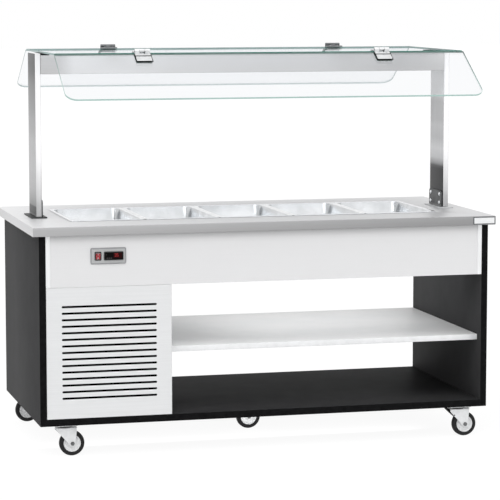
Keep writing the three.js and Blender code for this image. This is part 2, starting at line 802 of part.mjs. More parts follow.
function addCanopySide(side, turn) {
  const frame = new THREE.Group();
  frame.rotation.z = turn;
  bar.add(frame);

  // Everything on the slanted pane is drawn level and turned down about the pin.
  const leaf = new THREE.Group();
  leaf.position.set(0, -pinY, pinZ);
  leaf.rotation.x = radians(sideGlassSlope);
  frame.add(leaf);
  addPiece(`${side}_glass`, slantedPane(), clearGlass, leaf);

  // The upper jaw keeps the middle knuckle and the pin, and the lower jaw the end knuckles.
  const end = clampLength / 2;
  const third = clampLength / 6;
  const between = third + knuckleGap;
  const pinSides = 6;
  const boreRadius = (pinRadius + gap) / Math.cos(Math.PI / pinSides);
  const pin = toSolid(rodX(pinRadius, clampLength - 4, pinSides));
  const pinBore = toSolid(rodX(boreRadius, 2 * clampLength, pinSides));
  const endNotches = [[-2 * end, -third], [third, 2 * end]];
  const upper = toGeometry(clampJaw(upperJawReach, [[-third, third]], endNotches).add(pin));
  const outerKnuckles = [[-end, -between], [between, end]];
  const lower = toGeometry(clampJaw(lowerJawReach, outerKnuckles, [[-between, between]]).subtract(pinBore));

  clampPlaces.forEach((place, index) => {
    const hand = index === 0 ? "left" : "right";
    const hinge = addPiece(`${side}_${hand}_upper_jaw`, upper, chrome, frame);
    hinge.position.set(place, -pinY, pinZ);
    hinge.rotation.z = Math.PI;
    addPiece(`${side}_${hand}_lower_jaw`, lower, chrome, leaf).position.x = place;
  });
}

// ---------- Casters ----------

function casterPlate() {
  const outline = roundedRectangle(casterPlateLength, casterPlateWidth, casterPlateCorner);
  for (const x of [-1, 1]) {
    for (const y of [-1, 1]) {
      const hole = new THREE.Path();
      const holeX = x * (casterPlateLength / 2 - casterHoleInset);
      hole.absarc(holeX, y * (casterPlateWidth / 2 - casterHoleInset), casterHoleRadius, 0, Math.PI * 2);
      outline.holes.push(hole);
    }
  }
  const plate = prism(outline, casterPlateThickness, 0, 3).translate(0, 0, -casterPlateThickness);
  const low = -casterPlateThickness - casterRaceHeight;
  const race = turned([
    [0, low],
    [casterRaceRadius - 3, low],
    [casterRaceRadius, low + casterRaceHeight / 2],
    [casterRaceRadius - 4, 0.5 - casterPlateThickness],
    [0, 0.5 - casterPlateThickness],
  ], 12);
  return join(plate, race);
}

// The fork: a crown under the race, two cheeks down to the axle, and the axle with its nuts.
// On a braked caster the cheeks also have holes for the pedal's pin.
function casterFork(braked) {
  const top = -crownDrop;
  const cheek = new THREE.Shape();
  cheek.moveTo(-forkTopFront, top);
  cheek.lineTo(forkTopRear, top);
  cheek.lineTo(forkTopRear, top - forkApronHeight);
  cheek.lineTo(casterTrail + forkEyeRadius, -axleDrop);
  cheek.absarc(casterTrail, -axleDrop, forkEyeRadius, 0, -Math.PI * 0.86, true);
  cheek.lineTo(-forkTopFront, top - forkApronHeight);
  if (braked) {
    const hole = new THREE.Path();
    hole.absarc(pedalPivotX, pedalPivotZ, pedalPinRadius + 2 * gap, 0, Math.PI * 2);
    cheek.holes.push(hole);
  }
  const cheeks = [-1, 1].map((side) => {
    return alongY(cheek, forkSheet, 0, 4).translate(0, (side * (forkOuterWidth - forkSheet)) / 2, 0);
  });
  const crown = prism(rectangle(forkTopFront + forkTopRear - 4, forkOuterWidth - forkSheet), forkCrown);
  crown.translate((forkTopRear - forkTopFront) / 2, 0, top - forkCrown);
  const axle = rodY(axleRadius, forkOuterWidth + 2, 10).translate(casterTrail, 0, -axleDrop);
  const nuts = [-1, 1].map((side) => {
    const nut = rodY(axleNutRadius, axleNutHeight, 6);
    return nut.translate(casterTrail, side * (forkOuterWidth / 2 + axleNutHeight / 2 - 0.2), -axleDrop);
  });
  return join(...cheeks, crown, axle, ...nuts);
}

// The wheel: a dished hub inside a solid tyre, turned about its own axle.
function casterWheel() {
  const side = wheelWidth / 2;
  const profile = [
    [axleRadius + axleClearance, -hubWidth / 2],
    [hubBossRadius, -hubWidth / 2],
    [hubRadius, -side + 2 * tyreShoulder],
    [hubRadius + 1, -side],
    [wheelRadius - tyreShoulder, -side],
    [wheelRadius, -side + tyreShoulder],
  ];
  const mirrored = profile.map(([radius, height]) => [radius, -height]).reverse();
  return turned([...profile, ...mirrored, profile[0]], 18).rotateX(Math.PI / 2);
}

// The brake pedal: a tread that slopes up and forwards from a barrel near the tyre, with its pin.
function brakePedal() {
  const width = forkInnerWidth - 2 * pedalSideGap;
  const thick = pedalThickness / 2;
  const taper = treadLength - 2 * pedalThickness;
  const tread = polygon([
    [0, -thick],
    [taper, -thick],
    [treadLength, 1 - thick],
    [treadLength, thick - 1],
    [taper, thick],
    [0, thick],
  ]);
  const plate = alongY(tread, width, 0.6).rotateY(-radians(treadAngle));
  const barrel = rodY(pedalBarrelRadius, width, 12);
  const pin = rodY(pedalPinRadius, forkOuterWidth + 2, 8);
  return join(plate, barrel, pin);
}

function addCasters() {
  const x = cabinetLength / 2 - casterInsetX;
  const y = cabinetDepth / 2 - casterInsetY;
  // Name, place, heading in degrees (0 trails to the right) and whether it has a brake.
  const places = [
    ["front_left", -x, -y, 0, false],
    ["front_right", x, -y, 0, true],
    ["rear_left", -x, y, 180, false],
    ["rear_right", x, y, 0, true],
    ["centre", 0, 0, 0, false],
  ];
  const plate = casterPlate();
  const wheel = casterWheel();
  const pedal = brakePedal();
  for (const [name, placeX, placeY, heading, braked] of places) {
    const caster = new THREE.Group();
    caster.position.set(placeX, placeY, casterHeight - gap);
    bar.add(caster);
    addPiece(`${name}_caster_plate`, plate, zinc, caster);
    const swivel = new THREE.Group();
    swivel.rotation.z = radians(heading);
    caster.add(swivel);
    addPiece(`${name}_fork`, casterFork(braked), zinc, swivel);
    addPiece(`${name}_wheel`, wheel, tyreRubber, swivel).position.set(casterTrail, 0, gap - axleDrop);
    if (braked) {
      const mesh = addPiece(`${name}_brake_pedal`, pedal, blackPaint, swivel);
      mesh.position.set(pedalPivotX, 0, pedalPivotZ);
    }
  }
}

// ---------- Machine bay ----------

// A hermetic compressor: a domed pot with a welded belt, on a foot plate with four rubbers.
function addCompressor() {
  const h = compressorHeight;
  const r = compressorRadius;
  const belt = h / 2;
  const pot = turned([
    [0, mountHeight - 1],
    [r * 0.7, mountHeight - 1],
    [r, mountHeight + r * 0.35],
    [r, belt],
    [r + beltWidth, belt],
    [r + beltWidth, belt + beltWidth],
    [r, belt + beltWidth],
    [r * 0.92, h - r * 0.45],
    [r * 0.5, h - r * 0.08],
    [0, h],
  ], 14);
  const footLength = 2.5 * r;
  const footBreadth = 1.7 * r;
  const feet = prism(roundedRectangle(footLength, footBreadth, mountInset), footPlateThickness);
  feet.translate(0, 0, mountHeight - footPlateThickness);
  const rubbers = [];
  for (const sx of [-1, 1]) {
    for (const sy of [-1, 1]) {
      const rubber = rodZ(mountRadius, mountHeight - 2, 8).translate(0, 0, mountHeight / 2 - 1);
      const mountX = sx * (footLength / 2 - mountInset);
      rubbers.push(rubber.translate(mountX, sy * (footBreadth / 2 - mountInset), 0));
    }
  }
  const terminalBox = block([r * 0.8, r * 1.25], [-r * 0.3, r * 0.3], [belt - r * 0.6, belt - beltWidth]);
  const stub = rodZ(5, 40, 8).translate(-r * 0.3, r * 0.2, h);
  const mesh = addPiece("compressor", join(pot, feet, ...rubbers, terminalBox, stub), blackPaint);
  mesh.position.set(bayMiddleX + compressorOffset, -frontY - compressorFromRear, baseTop + gap);
}

// A finned condenser in a frame, with a shroud and the fan's motor on arms behind it.
function addCondenser() {
  const w = condenserWidth / 2;
  const h = condenserHeight;
  const back = condenserThickness;
  const middle = h / 2;
  const core = block([-w, w], [finReach, back - finReach], [2 * finReach, h - 2 * finReach]);
  const ends = [-1, 1].map((side) => block([side * w - 2, side * w + 2], [0, back], [0, h]));
  const fins = [];
  for (let i = 0; i < finCount; i += 1) {
    const x = -w + ((i + 0.5) * condenserWidth) / finCount;
    fins.push(block([x - finThickness / 2, x + finThickness / 2], [0, back], [finReach, h - finReach]));
  }
  const foot = block([-w - 2, w + 2], [0, 2 * back], [0, footPlateThickness]);
  const shroudBack = back + shroudThickness;
  const shroud = block([-w, w], [back - finReach - 1, shroudBack], [0, h]);
  const mouth = rodY(fanRadius + fanMouthGap, 4 * shroudThickness, 24);
  mouth.translate(0, back + 2 * shroudThickness, middle);
  const fanBack = shroudBack + fanWidth + motorGap;
  const motor = rodY(motorRadius, motorLength, 14).translate(0, fanBack + motorLength / 2, middle);
  const arms = [];
  const reach = fanRadius + 2 * armWidth;
  for (let i = 0; i < armCount; i += 1) {
    const angle = Math.PI / 6 + (i * 2 * Math.PI) / armCount;
    const arm = block([0, reach + armWidth / 2], [fanBack + armThickness, fanBack + 2 * armThickness],
      [-armWidth / 2, armWidth / 2]);
    arms.push(arm.rotateY(angle).translate(0, 0, middle));
    const leg = rodY(legRadius, fanBack + 2 * armThickness - back, 6);
    const legY = (fanBack + back) / 2 + armThickness - 1;
    arms.push(leg.translate(reach * Math.cos(angle), legY, middle - reach * Math.sin(angle)));
  }
  const bay = new THREE.Group();
  bay.position.set(bayMiddleX, frontY + sheetReturn + condenserFrontGap, baseTop + gap);
  bar.add(bay);
  const framed = cut(join(core, ...ends, ...fins, foot, shroud), mouth);
  addPiece("condenser", join(framed, motor, ...arms), blackPaint, bay);

  // The fan: a hub with pitched sickle blades.
  const blades = [];
  for (let i = 0; i < fanBlades; i += 1) {
    blades.push(fanBlade().rotateY((i * 2 * Math.PI) / fanBlades));
  }
  const hub = rodY(fanHubRadius, fanWidth, 3 * fanBlades);
  const fan = addPiece("condenser_fan", join(hub, ...blades), blackPaint, bay);
  fan.position.set(0, shroudBack + 1 + fanWidth / 2, middle);
}

// One blade: a flat sickle outline, cut from sheet and pitched about its radius.
function fanBlade() {
  const root = 0.6 * fanHubRadius;
  const outline = new THREE.Shape();
  outline.moveTo(root, -root);
  outline.quadraticCurveTo(0.6 * fanRadius, -0.5 * root,
    fanRadius * Math.cos(fanTipAngle), -fanRadius * Math.sin(fanTipAngle));
  outline.absarc(0, 0, fanRadius, -fanTipAngle, fanTipAngle);
  outline.quadraticCurveTo(0.4 * fanRadius, 3 * root, root, root);
  return prism(outline, fanBladeSheet, 0, 2).rotateX(Math.PI / 2 - radians(fanPitch));
}

// A flanged power inlet, low on the rear louvre panel.
function addInlet() {
  const flangeBreadth = inletWidth + 2 * inletFlangeBorder;
  const flange = roundedRectangle(flangeBreadth, inletHeight + 2 * inletFlangeBorder, 4);
  const plate = prism(flange, inletFlange).rotateX(-Math.PI / 2);
  const w = inletWidth / 2;
  const h = inletHeight / 2;
  const collar = block([-w, w], [inletFlange / 2, inletCollar], [-h, h]);
  const inner = [w - inletWall, h - inletWall];
  const recess = block([-inner[0], inner[0]], [inletFlange / 2, 2 * inletCollar], [-inner[1], inner[1]]);
  const mesh = addPiece("power_inlet", cut(join(plate, collar), recess), blackPaint);
  mesh.position.set(bayMiddleX, gap - frontY, baseTop + inletAboveBase);
}

addCabinet();
addLouvrePanels();
addAprons();
addCounter();
addPans();
addControls();
addNamePlate();
addPosts();
addBeam();
addTopGlass();
addCanopySide("front", 0);
addCanopySide("rear", Math.PI);
addCasters();
addCompressor();
addCondenser();
addInlet();

export default bar;
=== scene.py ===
import math

import bmesh
import bpy
from mathutils import Matrix, Vector


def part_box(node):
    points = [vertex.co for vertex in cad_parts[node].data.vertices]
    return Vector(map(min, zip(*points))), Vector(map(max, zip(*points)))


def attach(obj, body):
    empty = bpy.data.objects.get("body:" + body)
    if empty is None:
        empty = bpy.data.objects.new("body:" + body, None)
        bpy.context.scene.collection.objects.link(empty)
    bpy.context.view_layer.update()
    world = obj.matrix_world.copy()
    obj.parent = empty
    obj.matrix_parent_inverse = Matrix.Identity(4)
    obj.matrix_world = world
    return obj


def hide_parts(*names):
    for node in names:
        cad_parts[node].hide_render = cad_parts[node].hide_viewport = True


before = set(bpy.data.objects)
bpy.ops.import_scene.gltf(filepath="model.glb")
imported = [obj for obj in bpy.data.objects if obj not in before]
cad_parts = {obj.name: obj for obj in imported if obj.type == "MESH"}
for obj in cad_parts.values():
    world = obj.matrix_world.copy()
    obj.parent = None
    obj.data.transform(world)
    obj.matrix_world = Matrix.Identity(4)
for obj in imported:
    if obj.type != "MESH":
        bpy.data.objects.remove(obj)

scene = bpy.context.scene
scene.view_settings.view_transform = "Standard"
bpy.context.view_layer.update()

# ---------- Camera ----------
# A long lens, level from side to side, looks from the front left and a little above the counter.

focal_length = 168.913
camera_place = (-2.5645, -9.9466, 1.965)
degrees_down, degrees_right = 6.4936, 14.661

lens = bpy.data.cameras.new("camera")
lens.sensor_width = 36
lens.lens = focal_length
camera = bpy.data.objects.new("camera", lens)
camera.location = camera_place
camera.rotation_euler = (math.radians(90 - degrees_down), 0, math.radians(-degrees_right))
scene.collection.objects.link(camera)
scene.camera = camera

# ---------- Studio ----------
# A pale floor without an edge in view, an even sky, two soft lamps from above, and two faint wide
# ones for what stands in the shade: the shelf under the counter and the wheels under the base.


def srgb(*levels):
    """A colour from 0 to 255, as a paint chart gives it, in the values that a shader takes."""
    shares = [level / 255 for level in levels]
    return [s / 12.92 if s <= 0.04045 else ((s + 0.055) / 1.055) ** 2.4 for s in shares]


def feed(tree, node, inputs):
    """Sets each input of a node to a value, or links it to another node's output."""
    for name, source in inputs.items():
        if isinstance(source, bpy.types.NodeSocket):
            tree.links.new(source, node.inputs[name])
        else:
            node.inputs[name].default_value = source
    return node


def add_node(tree, kind, inputs, operation=None):
    """A new shader node of that kind, with its inputs fed."""
    node = tree.nodes.new("ShaderNode" + kind)
    if operation:
        node.operation = operation
    return feed(tree, node, inputs)


def rescaled(tree, value, low, high, start=0, end=1):
    """A value that runs from start to end, brought to run from low to high."""
    inputs = {"Value": value, "From Min": start, "From Max": end, "To Min": low, "To Max": high}
    return add_node(tree, "MapRange", inputs).outputs["Result"]


def seen_by_eye(tree):
    """1 where the eye, or its image in metal or glass, looks at this, and 0 where light does."""
    path = tree.nodes.new("ShaderNodeLightPath").outputs
    mirror = add_node(tree, "Math", {0: path["Is Camera Ray"], 1: path["Is Glossy Ray"]}, "MAXIMUM")
    either = {0: mirror.outputs[0], 1: path["Is Transmission Ray"]}
    return add_node(tree, "Math", either, "MAXIMUM").outputs[0]


def set_shader(material, inputs):
    """Feeds a material's own shader."""
    tree = material.node_tree
    return feed(tree, tree.nodes["Principled BSDF"], inputs)


def finish(name, roughness, metallic=0.0, specular=0.5):
    """A surface finish whose even values are set on the shader itself."""
    material = bpy.data.materials.new(name)
    material.use_nodes = True
    set_shader(material, {"Roughness": roughness, "Metallic": metallic, "Specular IOR Level": specular})
    return material


def two_shaders(material, share, first, second):
    """Shows the first shader and, in that share, the second."""
    tree = material.node_tree
    mix = add_node(tree, "MixShader", {"Fac": share, 1: first, 2: second})
    feed(tree, tree.nodes["Material Output"], {"Surface": mix.outputs["Shader"]})


def hung(lamp, place, tilt, turn):
    """Hangs a lamp at a place, tilted from straight down and turned, in degrees."""
    holder = bpy.data.objects.new(lamp.name, lamp)
    holder.location = place
    holder.rotation_euler = (math.radians(tilt), 0, math.radians(turn))
    scene.collection.objects.link(holder)
    return holder


sky_light = 0.55
sky = bpy.data.worlds.new("studio_sky")
sky.use_nodes = True
sky_tree = sky.node_tree
sky_strength = rescaled(sky_tree, seen_by_eye(sky_tree), sky_light, 1)
feed(sky_tree, sky_tree.nodes["Background"], {"Color": (1, 1, 1, 1), "Strength": sky_strength})
scene.world = sky

floor_reach = 60
floor_glow, floor_glow_share = 1.06, 0.88
floor_white = finish("floor_white", 0.9, specular=0)
floor_tree = floor_white.node_tree
lit_floor = set_shader(floor_white, {"Base Color": (*srgb(250, 250, 250), 1)})
bright_floor = add_node(floor_tree, "Emission", {"Strength": floor_glow})
glow_share = add_node(floor_tree, "Math", {0: seen_by_eye(floor_tree), 1: floor_glow_share}, "MULTIPLY")
two_shaders(floor_white, glow_share.outputs[0], lit_floor.outputs["BSDF"], bright_floor.outputs["Emission"])

floor_mesh = bpy.data.meshes.new("studio_floor")
floor_corners = [(-1, -1), (1, -1), (1, 1), (-1, 1)]
floor_points = [(x * floor_reach, y * floor_reach, 0) for x, y in floor_corners]
floor_mesh.from_pydata(floor_points, [], [(0, 1, 2, 3)])
floor_mesh.materials.append(floor_white)
floor = bpy.data.objects.new("studio_floor", floor_mesh)
scene.collection.objects.link(floor)

for name, strength, softness, tilt, turn in [
    ("key_lamp", 1.1, 50, 34, -38),
    ("fill_lamp", 0.55, 80, 52, 24),
]:
    lamp = bpy.data.lights.new(name, "SUN")
    lamp.energy = strength
    lamp.angle = math.radians(softness)
    hung(lamp, (0, 0, 0), tilt, turn)

for name, place, tilt, size, watts in [
    ("shelf_lamp", (0.40, 0.10, 0.71), 0, (1.10, 0.70), 1.9),
    ("wheel_lamp", (-0.10, -0.24, 0.07), 90, (1.70, 0.08), 1.7),
]:
    lamp = bpy.data.lights.new(name, "AREA")
    lamp.shape = "RECTANGLE"
    lamp.size, lamp.size_y = size
    lamp.energy = watts
    holder = hung(lamp, place, tilt, 0)
    holder.visible_camera = False
    holder.visible_glossy = False

# ---------- Cabinet boards ----------
# The carcass is particle board faced with black laminate, with a matt black band glued to its
# front and rear edges. It is dowelled together: base between the sides, shelf and bay wall white.


def grain_noise(tree, stretch, detail):
    """A noise that is fine or coarse along each axis, or along all alike, in turns per metre."""
    where = tree.nodes.new("ShaderNodeTexCoord")
    scale = stretch if isinstance(stretch, tuple) else (stretch, stretch, stretch)
    spread = add_node(tree, "Mapping", {"Vector": where.outputs["Object"], "Scale": scale})
    noise = add_node(tree, "TexNoise", {"Vector": spread.outputs["Vector"], "Scale": 1, "Detail": detail})
    return noise.outputs["Fac"]


def shaded(tree, value, stops):
    """The colour that a value has between stops of (value, levels)."""
    shades = add_node(tree, "ValToRGB", {"Fac": value})
    elements = shades.color_ramp.elements
    while len(elements) < len(stops):
        elements.new(1)
    for element, (place, levels) in zip(elements, stops):
        element.position = place
        element.color = (*srgb(*levels), 1)
    return shades.outputs["Color"]


def grained(material, stretch, depth):
    """Presses a fine relief of that depth into the surface."""
    tree = material.node_tree
    height = grain_noise(tree, stretch, 3)
    relief = add_node(tree, "Bump", {"Strength": 0.6, "Distance": depth, "Height": height})
    set_shader(material, {"Normal": relief.outputs["Normal"]})
    return material


def surface(name, roughness, dark, light, stretch, relief=None, metallic=0.0, specular=0.5, detail=4):
    """A finish whose colour wanders between two close shades, with a relief of (stretch, depth)."""
    material = finish(name, roughness, metallic, specular)
    tree = material.node_tree
    wander = grain_noise(tree, stretch, detail)
    set_shader(material, {"Base Color": shaded(tree, wander, [(0.36, dark), (0.64, light)])})
    return grained(material, *relief) if relief else material


def rounded_loop(half_x, half_y, radius, z, steps=4):
    """The points round a rectangle with round corners, level at height z."""
    points = []
    for quarter, (sx, sy) in enumerate([(1, 1), (-1, 1), (-1, -1), (1, -1)]):
        for step in range(steps + 1):
            angle = math.radians(90 * (quarter + step / steps))
            x = sx * (half_x - radius) + radius * math.cos(angle)
            y = sy * (half_y - radius) + radius * math.sin(angle)
            points.append(Vector((x, y, z)))
    return points


def skin(loops, closed=False):
    """A mesh over loops of equally many points, with its ends closed or the last joined to the first."""
    work = bmesh.new()
    rows = [[work.verts.new(point) for point in loop] for loop in loops]
    pairs = list(zip(rows, rows[1:]))
    if closed:
        pairs.append((rows[-1], rows[0]))
    else:
        work.faces.new(rows[0])
        work.faces.new(rows[-1])
    for low, high in pairs:
        for i in range(len(low)):
            j = (i + 1) % len(low)
            work.faces.new((low[i], low[j], high[j], high[i]))
    bmesh.ops.recalc_face_normals(work, faces=work.faces)
    mesh = bpy.data.meshes.new("skin")
    work.to_mesh(mesh)
    work.free()
    return mesh


def soft_block(low, high, radius=0.001, steps=2):
    """A block between two corners, with every edge rounded."""
    middle = (Vector(low) + Vector(high)) / 2
    half = (Vector(high) - Vector(low)) / 2
    loops = []
    for step in range(2 * steps + 2):
        angle = math.radians(90 * (step if step <= steps else step - 1) / steps)
        inset = radius * (1 - math.sin(angle))
        side = -half.z + radius if step <= steps else half.z - radius
        z = side - radius * math.cos(angle)
        corner = max(radius - inset, radius * 0.1)
        loops.append(rounded_loop(half.x - inset, half.y - inset, corner, z, steps))
    mesh = skin(loops)
    mesh.transform(Matrix.Translation(middle))
    return mesh


def fitted(name, parts, body, slot, *finishes, place=Matrix.Identity(4), crease=35, instead_of=None):
    """One piece from its parts, smooth except where it bends more than the crease, with its finishes,
    set in place and fixed to a body. It stands for the plain node that it is fitted instead of."""
    work = bmesh.new()
    for part in parts:
        work.from_mesh(part)
        bpy.data.meshes.remove(part)
    work.transform(place)
    mesh = bpy.data.meshes.new(name)
    work.to_mesh(mesh)
    work.free()
    mesh.shade_smooth()
    mesh.set_sharp_from_angle(angle=math.radians(crease))
    for material in finishes:
        mesh.materials.append(material)
    piece = bpy.data.objects.new(name, mesh)
    scene.collection.objects.link(piece)
    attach(piece, body)
    if instead_of:
        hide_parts(instead_of)
    return piece


def second_finish(piece, chosen, finish_number=1):
    """Puts the piece's second finish, or a later one, on the faces that are chosen."""
    for face in piece.data.polygons:
        if chosen(face):
            face.material_index = finish_number


board_relief = (900, 0.00005)
side_laminate = surface("side_laminate", 0.6, (62, 62, 63), (66, 66, 67), 9, board_relief, specular=0.03)
# The base takes a darker copy of the sides' laminate: painted shade, for the shade under the shelf.
base_laminate_painted_shade = surface("base_laminate_painted_shade", 0.6, (50, 50, 51), (54, 54, 55), 9, board_relief, specular=0.01)
black_band = surface("black_edge_band", 0.6, (17, 17, 18), (24, 24, 25), 60, specular=0.03)
white_melamine = surface("white_melamine", 0.5, (246, 247, 247), (251, 251, 251), 6, specular=0.25)
white_band = surface("white_edge_band", 0.4, (238, 239, 240), (244, 245, 246), 30)

board_arris = 0.0012
for name, slot, face_finish, band_finish in [
    ("base_board", "black_board", base_laminate_painted_shade, black_band),
    ("left_side_panel", "black_board", side_laminate, black_band),
    ("right_side_panel", "black_board", side_laminate, black_band),
    ("mid_shelf", "white_board", white_melamine, white_band),
    ("machine_bay_wall", "white_board", white_melamine, white_band),
]:
    panel = fitted(f"{name}_laminated", [soft_block(*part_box(name), radius=board_arris)], "cabinet", slot,
                   face_finish, band_finish, crease=50, instead_of=name)
    second_finish(panel, lambda face: abs(face.normal.y) > 0.7)

# ---------- Louvre panels ----------
# Pale coated steel sheet, punched with fifteen round-ended slots and folded back along its two
# upright edges, so that it springs in between the side panel and the bay wall.


def drawn(outline, start, end):
    """An outline of points (x, y) drawn upwards from one height to another."""
    return skin([[Vector((x, y, z)) for x, y in outline] for z in (start, end)])


def sheet_place(name, faces_back):
    """A sheet's half width and height, and the place of one drawn upright from its outer face."""
    low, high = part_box(name)
    foot = ((low.x + high.x) / 2, high.y if faces_back else low.y, low.z)
    turn = Matrix.Rotation(math.radians(180 if faces_back else 0), 4, "Z")
    return (high.x - low.x) / 2, high.z - low.z, Matrix.Translation(foot) @ turn


clearance = 0.0003                     # between pieces that touch
sheet_steel = 0.0025
fold_depth = 0.022
fold_radius = 0.003
slot_count, slot_pitch, slot_rise = 15, 0.0274, 0.0025
slot_length, slot_height = 0.402, 0.009
sheet_relief = ((12, 500, 500), 0.00004)

pale_coated_steel = surface("pale_coated_steel", 0.42, (228, 229, 230), (231, 232, 233), (3, 260, 260),
                            sheet_relief, specular=0.4, detail=2)
# The slots' walls are near black: painted shade inside the slots.
slot_wall_painted_shade = surface("slot_wall_painted_shade", 0.8, (18, 18, 19), (26, 26, 27), 60, specular=0)


def in_a_slot(face, low, high):
    """Whether a face is a slot's wall, on the panel between those corners."""
    level = abs(face.center.z - (low.z + high.z) / 2)
    aside = abs(face.center.x - (low.x + high.x) / 2)
    inside = aside < slot_length / 2 + 0.001 and level < slot_count * slot_pitch / 2
    return inside and abs(face.normal.y) < 0.5


for name, faces_back in [("front_louvre_panel", False), ("rear_louvre_panel", True)]:
    half, tall, place = sheet_place(name, faces_back)
    low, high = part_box(name)
    flat = half - fold_radius
    margin = (tall - slot_count * slot_pitch) / 2
    band = [(-flat, 0), (flat, 0), (flat, sheet_steel), (-flat, sheet_steel)]
    parts = [drawn(band, 0, margin + slot_rise), drawn(band, tall - margin + slot_rise, tall)]
    strip_edge = (flat, slot_pitch / 2, 1e-6)
    slot_edge = (slot_length / 2, slot_height / 2, slot_height / 2)
    for i in range(slot_count):
        rims = [(strip_edge, 0), (slot_edge, 0), (slot_edge, sheet_steel), (strip_edge, sheet_steel)]
        slotted = skin([[Vector((p.x, back, p.y)) for p in rounded_loop(*edge, 0, 8)] for edge, back in rims],
                       closed=True)
        middle = tall / 2 + (i - (slot_count - 1) / 2) * slot_pitch + slot_rise
        slotted.transform(Matrix.Translation((0, 0, middle)))
        parts.append(slotted)
    fold = [(flat, 0)]
    for step in range(5):
        angle = math.radians(-90 + 90 * step / 4)
        fold.append((flat + fold_radius * math.cos(angle), fold_radius + fold_radius * math.sin(angle)))
    fold += [(half, fold_depth), (half - sheet_steel, fold_depth), (half - sheet_steel, sheet_steel),
             (flat, sheet_steel)]
    parts += [drawn([(side * x, y) for x, y in fold], 0, tall) for side in (-1, 1)]
    panel = fitted(f"{name}_punched", parts, "cabinet", "pale_sheet", pale_coated_steel, slot_wall_painted_shade,
                   place=place, instead_of=name)
    second_finish(panel, lambda face: in_a_slot(face, low, high))

# A mat of black filter foam clipped behind the front slots, where the air goes in; its near-black is also
# painted shade, for the dark of the bay seen through the slots.
foam_thick, foam_from_side, foam_from_end = 0.007, 0.004, 0.020
low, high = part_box("front_louvre_panel")
foam_front = low.y + sheet_steel + clearance
filter_mat = soft_block((low.x + foam_from_side, foam_front, low.z + foam_from_end),
                        (high.x - foam_from_side, foam_front + foam_thick, high.z - foam_from_end), 0.002, 3)
black_foam_and_painted_shade = surface("black_foam_and_painted_shade", 0.9, (3, 3, 3), (8, 8, 8), 240, (500, 0.0006), specular=0)
fitted("front_filter_mat", [filter_mat], "cabinet", "pad_rubber", black_foam_and_painted_shade)

# ---------- Aprons ----------
# Pale coated steel below the counter at front and rear, screwed to the sides from within. The
# middle is set back, so that a narrow strip at each end stands proud; its whiter finish is a painted
# highlight.


def toned(material, axis, stops, streaks, depth=0.06, tint=(0, 0, 1)):
    """Shades the surface along one axis, from stops of (metres, level), with streaks of that depth."""
    tree = material.node_tree
    where = tree.nodes.new("ShaderNodeTexCoord")
    split = add_node(tree, "SeparateXYZ", {"Vector": where.outputs["Object"]})
    start, end = stops[0][0], stops[-1][0]
    along = rescaled(tree, split.outputs[axis], 0, 1, start, end)
    shares = [((place - start) / (end - start), [tone + shift for shift in tint]) for place, tone in stops]
    brushed = rescaled(tree, grain_noise(tree, streaks, 4), 1 - depth, 1 + 0.8 * depth, 0.3, 0.7)
    blend = add_node(tree, "VectorMath", {0: shaded(tree, along, shares), "Scale": brushed}, "SCALE")
    set_shader(material, {"Base Color": blend.outputs["Vector"]})
    return material


def eased(outline, radius, steps=3):
    """The outline with each corner eased by a short curve."""
    points = [Vector(point) for point in outline]
    soft = []
    for i, corner in enumerate(points):
        before = points[i - 1] - corner
        after = points[(i + 1) % len(points)] - corner
        reach = min(radius, 0.45 * before.length, 0.45 * after.length)
        a = corner + before.normalized() * reach
        b = corner + after.normalized() * reach
        for step in range(steps + 1):
            t = step / steps
            soft.append(a * (1 - t) ** 2 + corner * 2 * t * (1 - t) + b * t**2)
    return soft


apron_strip = 0.019
apron_step = 0.0025
# The sheet darkens towards its top: a painted shadow under the counter's edge.
apron_sheet_painted_shadow = toned(finish("apron_sheet_painted_shadow", 0.42, specular=0.4), "Z", [
    (0.71, 230), (0.885, 229), (0.90, 225), (0.915, 212), (0.93, 196)], (3, 260, 260), 0.008)
grained(apron_sheet_painted_shadow, *sheet_relief)
# The proud end strips are whiter than the sheet: a painted highlight.
strip_painted_highlight = surface("apron_strip_painted_highlight", 0.35, (240, 241, 242), (246, 247, 248), (40, 40, 8), detail=2)

for name, faces_back in [("front_apron", False), ("rear_apron", True)]:
    half, tall, place = sheet_place(name, faces_back)
    strip = half - apron_strip
    t = sheet_steel
    section = [(-half, 0), (-strip, 0), (-strip, apron_step), (strip, apron_step), (strip, 0), (half, 0),
               (half, fold_depth), (half - t, fold_depth), (half - t, t), (strip + t, t),
               (strip + t, apron_step + t), (-strip - t, apron_step + t), (-strip - t, t), (-half + t, t),
               (-half + t, fold_depth), (-half, fold_depth)]
    apron = fitted(f"{name}_folded", [drawn(eased(section, 0.0011), 0, tall)], "cabinet", "pale_sheet",
                   apron_sheet_painted_shadow, strip_painted_highlight, place=place, crease=40, instead_of=name)
    second_finish(apron, lambda face: abs(face.center.x) > strip + 0.0005)

# ---------- Counter ----------
# One sheet of stainless steel with the well cut out of it. Its edges are folded down over the
# cabinet and back in as a lip, the corners welded and ground, the face brushed along its length.

counter_low, counter_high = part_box("counter_top")
counter_bend = 0.0025
counter_gauge = 0.003
counter_lip = 0.015
well_half_x, well_half_y, well_corner = 0.8047, 0.256, 0.030
weld_corner = 0.003


def counter_ring(inset, z):
    """A loop round the counter, in from its edge."""
    radius = max(weld_corner - inset, 0.0004)
    return rounded_loop(counter_high.x - inset, counter_high.y - inset, radius, z, 10)


def well_ring(outset, z):
    """A loop round the well's opening, out from its edge."""
    return rounded_loop(well_half_x + outset, well_half_y + outset, well_corner + outset, z, 10)


def quarter_bend(radius):
    """Insets and heights of a quarter bend, from level to upright."""
    angles = [math.radians(90 * step / 4) for step in range(5)]
    return [(radius * (1 - math.sin(angle)), -radius * (1 - math.cos(angle))) for angle in angles]


